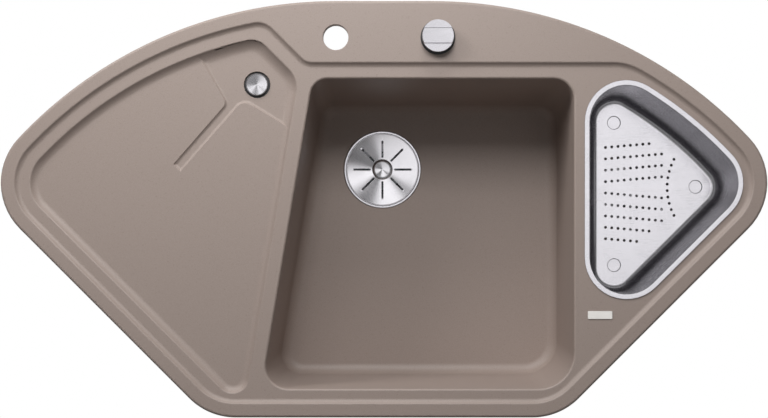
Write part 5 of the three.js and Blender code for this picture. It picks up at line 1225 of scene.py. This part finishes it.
pin_low = SHAFT_Z - CRANK_DROP + PIN_R + GAP
build(rod("pin", PIN_R, pin_low, PIN_TOP, 48, 0.4), "lift_pin", None, MAIN_PLACE)
build(lift_crank(), "lift_crank", None, CRANK_PLACE)
build(lift_drum(), "lift_drum", None, CRANK_PLACE)
build(lift_housing(), "lift_housing", None, CRANK_PLACE)
build(lift_housing_cover(), "lift_housing_cover", None, CRANK_PLACE)


# ------------------------------------------------------------------ pipes
def rounded_route(corners, radius, steps=14):
    """A route's points and directions, with round bends at its inner corners."""
    corners = [Vector(c) for c in corners]
    first = (corners[1] - corners[0]).normalized()
    stations = [(corners[0], first)]
    for before, corner, after in zip(corners, corners[1:], corners[2:]):
        way, onward = (corner - before).normalized(), (after - corner).normalized()
        bend = way.angle(onward)
        axis = way.cross(onward).normalized()
        start = corner - way * radius * math.tan(bend / 2)
        out = axis.cross(way)
        centre = start + out * radius
        for k in range(steps + 1):
            a = bend * k / steps
            spoke = -out * math.cos(a) + way * math.sin(a)
            tangent = way * math.cos(a) + out * math.sin(a)
            stations.append((centre + spoke * radius, tangent))
    stations.append((corners[-1], (corners[-1] - corners[-2]).normalized()))
    return stations


def tube(name, stations, outer, inner, sides=40):
    """A pipe with an open bore along stations, or a full round cord where inner is 0."""
    tangent = stations[0][1]
    normal = tangent.orthogonal().normalized()
    frames = []
    for point, way in stations:
        normal = (normal - way * normal.dot(way)).normalized()
        frames.append((point, normal.copy(), way.cross(normal)))
    points = []
    radii = [outer, inner] if inner else [outer]
    for radius in radii:
        for point, u, v in frames:
            for k in range(sides):
                a = 2 * math.pi * k / sides
                points.append(point + (u * math.cos(a) + v * math.sin(a)) * radius)
    count = len(frames)
    faces = []
    for layer in range(len(radii)):
        base = layer * count * sides
        for r in range(count - 1):
            for k in range(sides):
                a, b = base + r * sides + k, base + r * sides + (k + 1) % sides
                quad = (a, b, b + sides, a + sides)
                faces.append(quad if layer == 0 else tuple(reversed(quad)))
    for r in (0, count - 1):
        if inner:
            for k in range(sides):
                n = (k + 1) % sides
                a, b = r * sides + k, r * sides + n
                c, d = count * sides + b, count * sides + a
                faces.append((b, a, d, c) if r == 0 else (a, b, c, d))
        else:
            cap = tuple(range(r * sides, r * sides + sides))
            faces.append(tuple(reversed(cap)) if r == 0 else cap)
    return new_object(name, points, faces)


TEE_SEGMENTS = 56
TEE_HEIGHT = 64
TEE_TOP = MAIN_FLOOR + WASTE_END - GAP
TEE_END = TEE_TOP - TEE_HEIGHT
BRANCH_Z = TEE_TOP - 32
BRANCH_LENGTH = 50
THIN_PIPE_R, THIN_PIPE_BORE = 11, 9.8
OVERFLOW_BRANCH_Z = TEE_TOP - 23
OVERFLOW_BRANCH_LENGTH = 40
BRANCH_WAY = Vector((SMALL_X - MAIN_X, SMALL_Y - MAIN_Y)).normalized()
OVERFLOW_WAY = Vector((OVERFLOW_X - MAIN_X, OVERFLOW_Y - MAIN_Y)).normalized()
OVERFLOW_SEAL = 2
FUNNEL_TOP = SLAB_BOTTOM - GUTTER_Z - OVERFLOW_SEAL - 2 * GAP  # over the gutter's floor
FUNNEL_END = FUNNEL_TOP - 48
PIPE_BEND_R = 45
TRAP_TOP = TEE_END - GAP
TRAP_LOW = TRAP_TOP - 84
TRAP_SPAN = 76
TRAP_REAR = MAIN_Y + TRAP_SPAN
TRAP_BEND_R = TRAP_SPAN / 2 - 0.1
TRAP_JOINT = TRAP_LOW + 50
ARM_Z = TRAP_JOINT + 40
ARM_LENGTH = 112
ARM_BEND_R = 32
SMALL_END = SMALL_FLOOR + WASTE_END
NUT_WALL = 5
NUT_HALF = 10


def beside_tee(length, way, z):
    return (MAIN_X + way.x * length, MAIN_Y + way.y * length, z)


def branch(name, radius, length, way, z):
    stub = along_x(rod(name, radius, 0, length, TEE_SEGMENTS))
    return shift(spin(stub, math.atan2(way.y, way.x)), MAIN_X, MAIN_Y, z)


def waste_tee():
    body = shift(rod("tee", PIPE_R, TEE_END, TEE_TOP, TEE_SEGMENTS), MAIN_X, MAIN_Y)
    bore = rod("bore", PIPE_BORE, TEE_END - OVERCUT, TEE_TOP + OVERCUT, TEE_SEGMENTS)
    join(body, branch("large", PIPE_R, BRANCH_LENGTH, BRANCH_WAY, BRANCH_Z),
         branch("small", THIN_PIPE_R, OVERFLOW_BRANCH_LENGTH, OVERFLOW_WAY, OVERFLOW_BRANCH_Z))
    return carve(
        body, shift(bore, MAIN_X, MAIN_Y),
        branch("large_bore", PIPE_BORE, BRANCH_LENGTH + OVERCUT, BRANCH_WAY, BRANCH_Z),
        branch("small_bore", THIN_PIPE_BORE, OVERFLOW_BRANCH_LENGTH + OVERCUT, OVERFLOW_WAY,
               OVERFLOW_BRANCH_Z))


def pipe_nut(node, pipe_radius, place, way=None):
    bore = (pipe_radius + GAP) / math.cos(math.pi / 12)
    ribs = 18 if pipe_radius == PIPE_R else 12
    nut = ribbed_nut("nut", bore, bore + NUT_WALL, -NUT_HALF, NUT_HALF, ribs, "black_plastic", 1.4)
    if way is not None:
        nut = spin(along_x(nut), math.atan2(way.y, way.x))
    build(nut, node, None, place)


build(waste_tee(), "waste_tee")
for pipe_name, pipe_radius, pipe_bore, bend_radius, pipe_corners in (
        ("connecting_pipe", PIPE_R, PIPE_BORE, PIPE_BEND_R, [
            (SMALL_X, SMALL_Y, SMALL_END - GAP), (SMALL_X, SMALL_Y, BRANCH_Z),
            beside_tee(BRANCH_LENGTH + GAP, BRANCH_WAY, BRANCH_Z)]),
        ("overflow_pipe", THIN_PIPE_R, THIN_PIPE_BORE, PIPE_BEND_R, [
            (OVERFLOW_X, OVERFLOW_Y, GUTTER_Z + FUNNEL_END - GAP),
            (OVERFLOW_X, OVERFLOW_Y, OVERFLOW_BRANCH_Z),
            beside_tee(OVERFLOW_BRANCH_LENGTH + GAP, OVERFLOW_WAY, OVERFLOW_BRANCH_Z)]),
        ("trap_bend", PIPE_R, PIPE_BORE, TRAP_BEND_R, [
            (MAIN_X, MAIN_Y, TRAP_TOP), (MAIN_X, MAIN_Y, TRAP_LOW), (MAIN_X, TRAP_REAR, TRAP_LOW),
            (MAIN_X, TRAP_REAR, TRAP_JOINT)]),
        ("trap_arm", PIPE_R, PIPE_BORE, ARM_BEND_R, [
            (MAIN_X, TRAP_REAR, TRAP_JOINT + GAP), (MAIN_X, TRAP_REAR, ARM_Z),
            (MAIN_X, TRAP_REAR + ARM_LENGTH, ARM_Z)])):
    build(tube("pipe", rounded_route(pipe_corners, bend_radius), pipe_radius, pipe_bore), pipe_name)
pipe_nut("main_waste_nut", PIPE_R, (MAIN_X, MAIN_Y, TEE_TOP))
pipe_nut("small_waste_nut", PIPE_R, (SMALL_X, SMALL_Y, SMALL_END))
pipe_nut("connecting_nut", PIPE_R, beside_tee(BRANCH_LENGTH, BRANCH_WAY, BRANCH_Z), BRANCH_WAY)
pipe_nut("overflow_top_nut", THIN_PIPE_R, (OVERFLOW_X, OVERFLOW_Y, GUTTER_Z + FUNNEL_END))
pipe_nut("overflow_tee_nut", THIN_PIPE_R, beside_tee(OVERFLOW_BRANCH_LENGTH, OVERFLOW_WAY, OVERFLOW_BRANCH_Z),
         OVERFLOW_WAY)
pipe_nut("trap_inlet_nut", PIPE_R, (MAIN_X, MAIN_Y, TEE_END))
pipe_nut("trap_outlet_nut", PIPE_R, (MAIN_X, TRAP_REAR, TRAP_JOINT))

# ------------------------------------------------------------------ knob
# Heights count from the ledge's top.
KNOB_PLACE = (KNOB_X, HOLES_Y, RIM_TOP)
KNOB_R = 22
KNOB_LOW = 2 + 2 * GAP
KNOB_HIGH = KNOB_LOW + 13
KNOB_SOCKET = 6.8
GRIP_TOP_HALF, GRIP_FOOT_HALF = 10.1, 10.9  # half widths of the raised bar on the knob's top
GRIP_HEIGHT = 1.2
BASE_RING_R = 23.9
BASE_RING_TOP = 2.3
SHANK_R = 11
SHANK_END = -40
SPINDLE_R = 4
SPINDLE_DRUM_R = 12
SPINDLE_DRUM = 6
DRUM_TOP = -42.0
KNOB_PORT_Z = DRUM_TOP - SPINDLE_DRUM / 2
KNOB_PORT_Y = -12  # the cable leaves along the spindle drum's front edge
KNOB_PORT_R = 5.5
KNOB_PORT_END = 20
HOUSING_R = 18
HOUSING_BORE = 15.5
HOUSING_SHEET = 2.5
HOUSING_TOP = -35.5
HOUSING_END = HOUSING_TOP - 18
WASHER_TOP = LEDGE_UNDER_Z - RIM_TOP - GAP
WASHER = 2
KNOB_NUT_R = 18
KNOB_NUT_TOP = WASHER_TOP - WASHER - GAP
KNOB_NUT_HEIGHT = 6


def knob_side(way):
    """A cutter for one lowered side of the knob's top, with a slanted flank along the grip."""
    far = KNOB_R + 2
    low, high = ([(-far, way * far), (-far, way * half), (far, way * half), (far, way * far)]
                 for half in (GRIP_FOOT_HALF, GRIP_TOP_HALF))
    return loft("side", [(low, KNOB_HIGH - GRIP_HEIGHT), (high, KNOB_HIGH), (high, KNOB_HIGH + OVERCUT)])


def knob_cap():
    edge = KNOB_R - 0.5
    cap = turned("cap", [(0, KNOB_LOW), (edge, KNOB_LOW), (KNOB_R, KNOB_LOW + 0.6), (KNOB_R, KNOB_HIGH - 0.6),
                         (edge, KNOB_HIGH), (0, KNOB_HIGH)], 128, 0.5, 4)
    for way in (1, -1):
        carve(cap, knob_side(way))
    return carve(cap, rod("bore", SPINDLE_R + GAP, KNOB_LOW - OVERCUT, KNOB_LOW + KNOB_SOCKET, 32))


def knob_base_ring():
    bore, edge = SPINDLE_R + GAP, BASE_RING_TOP - 0.6
    return turned("base", [
        (bore, SHANK_END), (SHANK_R, SHANK_END), (SHANK_R, GAP), (BASE_RING_R, GAP), (BASE_RING_R, edge),
        (BASE_RING_R - 0.6, BASE_RING_TOP), (bore, BASE_RING_TOP)], 96, 0.4)


def hexagon(radius):
    return [(radius * math.cos(k * math.pi / 3), radius * math.sin(k * math.pi / 3)) for k in range(6)]


def knob_nut():
    nut = bevelled(prism("nut", hexagon(KNOB_NUT_R), KNOB_NUT_TOP - KNOB_NUT_HEIGHT, KNOB_NUT_TOP), 0.7)
    return carve(nut, rod("bore", SHANK_R + GAP, HOUSING_END, 0, 48))


def knob_housing():
    """The drum's housing: a cup that hangs on the shank, with a port for the cable in its side."""
    inside, ceiling = SHANK_R + GAP, HOUSING_TOP - HOUSING_SHEET
    shell = turned("shell", [
        (inside, HOUSING_TOP), (inside, ceiling), (HOUSING_BORE, ceiling), (HOUSING_BORE, HOUSING_END),
        (HOUSING_R, HOUSING_END), (HOUSING_R, HOUSING_TOP)], 72, 0.5)
    port = along_x(rod("port", KNOB_PORT_R, -KNOB_PORT_END, 0, 40, 0.5))
    bore = along_x(rod("bore", CABLE_BORE, -KNOB_PORT_END - OVERCUT, 0, 32))
    join(shell, shift(port, 0, KNOB_PORT_Y, KNOB_PORT_Z))
    return carve(shell, rod("hollow", HOUSING_BORE, HOUSING_END - OVERCUT, ceiling, 72),
                 shift(bore, 0, KNOB_PORT_Y, KNOB_PORT_Z))


def knob_spindle():
    r, top = SPINDLE_DRUM_R, KNOB_LOW + 6.5
    return turned("spindle", [
        (0, DRUM_TOP - SPINDLE_DRUM), (r, DRUM_TOP - SPINDLE_DRUM), (r - 1.5, KNOB_PORT_Z), (r, DRUM_TOP),
        (SPINDLE_R, DRUM_TOP), (SPINDLE_R, top), (0, top)], 64, 0.3)


def knob_washer():
    return ring("washer", SHANK_R + GAP, KNOB_R, WASHER_TOP - WASHER, WASHER_TOP, 0.4)


def knob_housing_cover():
    top = HOUSING_END - GAP
    return rod("cover", HOUSING_R, top - HOUSING_SHEET, top, 72, 0.6)


build(knob_cap(), "knob_cap", "polished_steel", KNOB_PLACE)
build(knob_base_ring(), "knob_base_ring", None, KNOB_PLACE)
build(knob_spindle(), "knob_spindle", None, KNOB_PLACE)
build(knob_washer(), "knob_washer", None, KNOB_PLACE)
build(knob_nut(), "knob_nut", None, KNOB_PLACE)
build(knob_housing(), "knob_housing", None, KNOB_PLACE)
build(knob_housing_cover(), "knob_housing_cover", None, KNOB_PLACE)

# ------------------------------------------------------------------ overflow
# Heights count from the gutter's floor.
OVERFLOW_PLACE = (OVERFLOW_X, OVERFLOW_Y, GUTTER_Z)
GRATE_LOW = -OVERFLOW_SEAT + GAP
GRATE_HIGH = GRATE_LOW + 1.5
SCREW_R = 3
SCREW_BORE = SCREW_R + GAP
HUB_R = 6
CAP_R = 15.2
CAP_TOP = 3.8
CAP_SKIRT_R = 7.5
CAP_UNDER = 1.8
FUNNEL_FLANGE_R = 27
FUNNEL_FLANGE = 2.5
FUNNEL_R, FUNNEL_BORE = 16.9, 14.5


def overflow_cap():
    foot = GRATE_HIGH + GAP
    return turned("cap", [
        (0, CAP_TOP), (CAP_R - 1, CAP_TOP), (CAP_R, CAP_TOP - 0.6), (CAP_R, CAP_UNDER),
        (CAP_SKIRT_R, CAP_UNDER), (CAP_SKIRT_R, foot), (CAP_SKIRT_R - 1.5, foot), (CAP_SKIRT_R - 1.5, 2.1),
        (0, 2.1)], 96, 0.4, 4)


def overflow_grate():
    rim = ring("grate", THROAT_R - 1, OVERFLOW_HOLE_R - GAP, GRATE_LOW, GRATE_HIGH, 0.25)
    return gather("grate", [rim, spoked_hub(SCREW_BORE, HUB_R, THROAT_R, GRATE_LOW, GRATE_HIGH)])


def overflow_funnel():
    under = FUNNEL_TOP - FUNNEL_FLANGE
    shell = turned("funnel", [
        (FUNNEL_BORE, FUNNEL_TOP), (FUNNEL_BORE, FUNNEL_TOP - 18), (THIN_PIPE_BORE, FUNNEL_TOP - 30),
        (THIN_PIPE_BORE, FUNNEL_END), (THIN_PIPE_R, FUNNEL_END), (THIN_PIPE_R, FUNNEL_TOP - 32),
        (FUNNEL_R, FUNNEL_TOP - 20), (FUNNEL_R, under), (FUNNEL_FLANGE_R, under),
        (FUNNEL_FLANGE_R, FUNNEL_TOP)], 72, 0.8)
    return gather("funnel", [shell, spoked_hub(SCREW_BORE, HUB_R, 15, FUNNEL_TOP - 14, FUNNEL_TOP - 4)])


def threaded(foot, top, radius, pitch, tail):
    """A screw shank's profile with fine thread rings, after tail, the profile below it."""
    profile = list(tail)
    z = foot
    while z + pitch < top:
        profile += [(radius - 0.35, z + pitch * 0.25), (radius, z + pitch * 0.75)]
        z += pitch
    return profile


def overflow_screw():
    head, foot, head_r, head_height = GRATE_HIGH + GAP, FUNNEL_TOP - 16, 5.5, 2.4
    shank = threaded(foot, head - 6, SCREW_R, 0.8, [(0, foot), (SCREW_R - 0.4, foot)])
    return turned("screw", shank + [(SCREW_R, head - 5), (SCREW_R, head), (head_r, head),
                                    (head_r, head + head_height), (0, head + head_height)], 32, 0.0)


seal_top = SLAB_BOTTOM - GUTTER_Z - GAP
build(overflow_cap(), "overflow_cap", "cap_disc", OVERFLOW_PLACE)
build(overflow_grate(), "overflow_grate", None, OVERFLOW_PLACE)
build(overflow_screw(), "overflow_screw", None, OVERFLOW_PLACE)
build(ring("seal", 15, 26, FUNNEL_TOP + GAP, seal_top, 0.4), "overflow_seal", None, OVERFLOW_PLACE)
build(overflow_funnel(), "overflow_funnel", None, OVERFLOW_PLACE)

# ------------------------------------------------------------------ badge plate, clips
BADGE_HALF_LENGTH = 17
BADGE_HALF_WIDTH = 5.5
BADGE_X = 298.3
BADGE_BEFORE_CORNER = 79.6
CLIP_DROP = -42
CLIP_FOOT = 15
CLIP_BACK = 2.3
CLIP_SCREW_OUT = 10
CLIP_SCREW_HOLE = SCREW_R + 0.45
PAD_R = 7
PAD_TOP = -29.0  # the underside of the worktop that the screw presses on
CLIP_SCREW_END = -57.0


def badge_plate():
    length, width = BADGE_HALF_LENGTH, BADGE_HALF_WIDTH
    sides = [line(0, -width, 1, 0), line(length, 0, 0, 1), line(0, width, -1, 0), line(-length, 0, 0, -1)]
    return bevelled(prism("badge", outline(sides, [1.5] * 4), 0, 0.8), 0.2, 3)


def clip_bracket():
    """A bent strip: its tongue sits in the lug's slot, and its foot carries the screw."""
    under, foot_top = TONGUE_TOP - CLIP_SHEET, CLIP_DROP + CLIP_SHEET
    profile = [(-TONGUE_DEPTH, TONGUE_TOP), (-TONGUE_DEPTH, under), (GAP, under), (GAP, CLIP_DROP),
               (CLIP_FOOT, CLIP_DROP), (CLIP_FOOT, foot_top), (CLIP_BACK, foot_top), (CLIP_BACK, TONGUE_TOP)]
    strip = prism("clip", soften(profile, 1.2, True, 4), -TONGUE_HALF, TONGUE_HALF)
    turn(strip, ((0, 0, 1), (1, 0, 0), (0, 1, 0)))
    hole = rod("hole", CLIP_SCREW_HOLE, CLIP_DROP - OVERCUT, foot_top + OVERCUT, 32)
    return carve(bevelled(strip, 0.3), shift(hole, 0, CLIP_SCREW_OUT))


def clip_screw():
    foot, head_r = CLIP_SCREW_END, 5.5
    shank = threaded(foot + 5, PAD_TOP - 3, SCREW_R, 1.0, [(0, foot), (head_r, foot), (head_r, foot + 4),
                                                           (SCREW_R, foot + 4)])
    pad = [(SCREW_R, PAD_TOP - 2), (PAD_R, PAD_TOP - 2), (PAD_R, PAD_TOP), (0, PAD_TOP)]
    return shift(turned("screw", shank + pad, 32, 0.0), 0, CLIP_SCREW_OUT)


build(badge_plate(), "badge_plate", None, (BADGE_X, SMALL_CORNERS[2][1] - BADGE_BEFORE_CORNER, LEVEL2 + GAP))
for clip_name, clip_x, clip_y, clip_turn in CLIPS:
    build(spin(clip_bracket(), clip_turn), "clip_" + clip_name, None, (clip_x, clip_y, 0))
    build(spin(clip_screw(), clip_turn), "clip_screw_" + clip_name, None, (clip_x, clip_y, 0))


# ------------------------------------------------------------------ control cable
def smooth_route(points, steps):
    """The centripetal spline through points, with its directions."""
    points = [Vector(p) for p in points]
    padded = [points[0] * 2 - points[1]] + points + [points[-1] * 2 - points[-2]]
    samples = []
    for a, b, c, d in zip(padded, padded[1:], padded[2:], padded[3:]):
        t1 = (b - a).length ** 0.5
        t2 = t1 + (c - b).length ** 0.5
        t3 = t2 + (d - c).length ** 0.5
        for k in range(steps):
            t = t1 + (t2 - t1) * k / steps
            ab = a * (t1 - t) / t1 + b * t / t1
            bc = b * (t2 - t) / (t2 - t1) + c * (t - t1) / (t2 - t1)
            cd = c * (t3 - t) / (t3 - t2) + d * (t - t2) / (t3 - t2)
            abc = ab * (t2 - t) / t2 + bc * t / t2
            bcd = bc * (t3 - t) / (t3 - t1) + cd * (t - t1) / (t3 - t1)
            samples.append(abc * (t2 - t) / (t2 - t1) + bcd * (t - t1) / (t2 - t1))
    samples.append(points[-1])
    stations = []
    for i, point in enumerate(samples):
        before, after = samples[max(i - 1, 0)], samples[min(i + 1, len(samples) - 1)]
        stations.append((point, (after - before).normalized()))
    return stations


def control_cable():
    """From the knob's housing behind the main bowl to the lifting housing, a hand's breadth lower."""
    sx, sy, sz = KNOB_X - KNOB_PORT_END + CABLE_IN_PORT, HOLES_Y + KNOB_PORT_Y, RIM_TOP + KNOB_PORT_Z
    ex, ey = MAIN_X - CRANK_OUT + BOX_HALF - CABLE_IN_PORT, MAIN_Y + DRUM_MIDDLE
    ez = MAIN_FLOOR + SHAFT_Z + CABLE_UP
    behind, lead, swing = 500.0, 12.0, 56.0
    side, hang, low = sx - 52, sz - 46, ez + 16
    fall = hang - low
    route = [(sx, sy, sz), (sx - lead, sy, sz), (sx - lead * 3, sy - lead / 4, sz - lead),
             (side, behind + lead / 3, hang), (side + lead / 2, behind, hang - fall * 0.4),
             (side + lead * 2, behind, hang - fall * 0.75), (sx - lead, behind - lead, low),
             (ex + swing, behind - swing * 0.75, ez + 1), (ex + lead * 3, ey + lead * 0.7, ez),
             (ex + lead, ey, ez), (ex, ey, ez)]
    return tube("cable", smooth_route(route, 12), CABLE_R, 0, 20)


CABLE_R = 3
CABLE_IN_PORT = 3
build(control_cable(), "control_cable")

# ------------------------------------------------------------------ light and surroundings
FLOOR_Z = -0.446
FLOOR_HALF = 6


def seen_white(name, colour):
    """A pale surface that the camera sees as plain white, and that lights the object like paint."""
    material, tree = new_material(name)
    path = put(tree, "ShaderNodeLightPath")
    paint = put(tree, "ShaderNodeBsdfDiffuse", {"Color": colour})
    glow = put(tree, "ShaderNodeEmission", {"Color": WHITE, "Strength": 1.0})
    seen = put(tree, "ShaderNodeMixShader", {0: path.outputs["Is Camera Ray"], 1: paint, 2: glow})
    put(tree, "ShaderNodeOutputMaterial", {"Surface": seen})
    return material


WHITE = (1.0, 1.0, 1.0, 1.0)
floor_corners = [(-FLOOR_HALF, -FLOOR_HALF), (FLOOR_HALF, -FLOOR_HALF), (FLOOR_HALF, FLOOR_HALF),
                 (-FLOOR_HALF, FLOOR_HALF)]
floor_piece = new_object("studio_floor", [(x, y, FLOOR_Z) for x, y in floor_corners], [(0, 1, 2, 3)])
floor_piece.data.materials.append(seen_white("pale_studio_floor", (0.75, 0.75, 0.75, 1.0)))

# The shell of the studio: how bright it looks from the sink, by direction and by angle from the zenith
FANS = [(-180, 1.9), (-168, 1.9), (-156, 0.03), (-118, 0.03), (-106, 1.7), (-46, 1.7), (-36, 0.03),
        (-20, 0.03), (-10, 1.55), (98, 1.6), (108, 0.03), (150, 0.03), (162, 1.9), (180, 1.9)]
ZENITH_GLOW = 1.5
HALO_GLOW = 0.55
ROOM_GLOW = 0.06
HORIZON_GLOW = 0.34
SECOND_GLOW = 0.1  # the horizon in a second reflection, which keeps the colander's inner corners dark
AMBIENT = 0.12
ZENITH_END = (3.0, 7.0)  # degrees between which one zone fades into the next
BOXES_END = (17.0, 21.0)
HALO_END = (24.0, 36.0)
ROOM_END = (40.0, 50.0)


def studio_world():
    """White to the camera and nearly dark to the stone. Steel sees soft boxes round the zenith."""
    world = bpy.data.worlds.new("studio")
    bpy.context.scene.world = world
    world.use_nodes = True
    tree = world.node_tree
    tree.nodes.clear()
    way = put(tree, "ShaderNodeTexCoord").outputs["Generated"]
    parts = put(tree, "ShaderNodeSeparateXYZ", {0: way}).outputs
    azimuth = put(tree, "ShaderNodeMath", {0: parts["Y"], 1: parts["X"]}, operation="ARCTAN2")
    share = put(tree, "ShaderNodeMapRange", {"Value": azimuth, "From Min": -math.pi, "From Max": math.pi})
    fans = put(tree, "ShaderNodeValToRGB", {"Fac": share},
               stops=[((degrees + 180.0) / 360.0, (glow, glow, glow, 1.0)) for degrees, glow in FANS])

    def fades(base, within, zone_end):
        """The value within up to the zone's end, where it fades to base."""
        start, end = (math.cos(math.radians(angle)) for angle in zone_end)
        inside = put(tree, "ShaderNodeMapRange", {"Value": parts["Z"], "From Min": end, "From Max": start},
                     interpolation_type="SMOOTHSTEP")
        return put(tree, "ShaderNodeMix", {0: inside, 2: base, 3: within})

    path = put(tree, "ShaderNodeLightPath")
    again = put(tree, "ShaderNodeMapRange", {
        "Value": path.outputs["Glossy Depth"], "From Min": 1.0, "From Max": 2.0})
    horizon = put(tree, "ShaderNodeMix", {0: again, 2: HORIZON_GLOW, 3: SECOND_GLOW})
    boxes = fades(fans, ZENITH_GLOW, ZENITH_END)
    room = fades(ROOM_GLOW, fades(HALO_GLOW, boxes, BOXES_END), HALO_END)
    gloss = fades(horizon, room, ROOM_END)
    lighting = put(tree, "ShaderNodeMix", {0: path.outputs["Is Glossy Ray"], 2: AMBIENT, 3: gloss})
    strength = put(tree, "ShaderNodeMix", {0: path.outputs["Is Camera Ray"], 2: lighting, 3: 1.0})
    shell = put(tree, "ShaderNodeBackground", {"Color": WHITE, "Strength": strength})
    put(tree, "ShaderNodeOutputWorld", {"Surface": shell})


studio_world()

LIGHT_AIM = Vector((0.0, 0.28, 0.0))
LIGHT_DISTANCE = 1.8
LIGHT_SIZE = 0.56
STEEL_ON_SHOW = ("colander", "main_drain_cup", "main_strainer_disc", "main_strainer_knob", "knob_cap",
                 "overflow_cap")


def shaded_steel():
    """The polished pieces on show: they mirror the studio shell and take no light from the soft boxes."""
    group = bpy.data.collections.new("shaded_steel")
    for node in STEEL_ON_SHOW:
        group.objects.link(bpy.data.objects[node + "_shape"])
    for item in group.collection_objects:
        item.light_linking.link_state = "EXCLUDE"
    return group


SHADED_STEEL = shaded_steel()


def soft_light(name, azimuth, elevation, power):
    """A square soft box that looks at the sink's middle. Its direction is in degrees."""
    data = bpy.data.lights.new(name, "AREA")
    data.shape = "SQUARE"
    data.size = LIGHT_SIZE
    data.energy = power
    lamp = bpy.data.objects.new(name, data)
    bpy.context.scene.collection.objects.link(lamp)
    turned_by, raised_by = math.radians(azimuth), math.radians(elevation)
    toward = Vector((math.cos(turned_by) * math.cos(raised_by), math.sin(turned_by) * math.cos(raised_by),
                     math.sin(raised_by)))
    lamp.location = LIGHT_AIM + toward * LIGHT_DISTANCE
    lamp.rotation_euler = (-toward).to_track_quat("-Z", "Y").to_euler()
    lamp.light_linking.receiver_collection = SHADED_STEEL


soft_light("rear_high", 90, 55, 15.0)
soft_light("rear_low", 88, 25, 10.6)
soft_light("rear_left_low", 135, 25, 12.4)
soft_light("rear_left_high", 115, 45, 3.2)
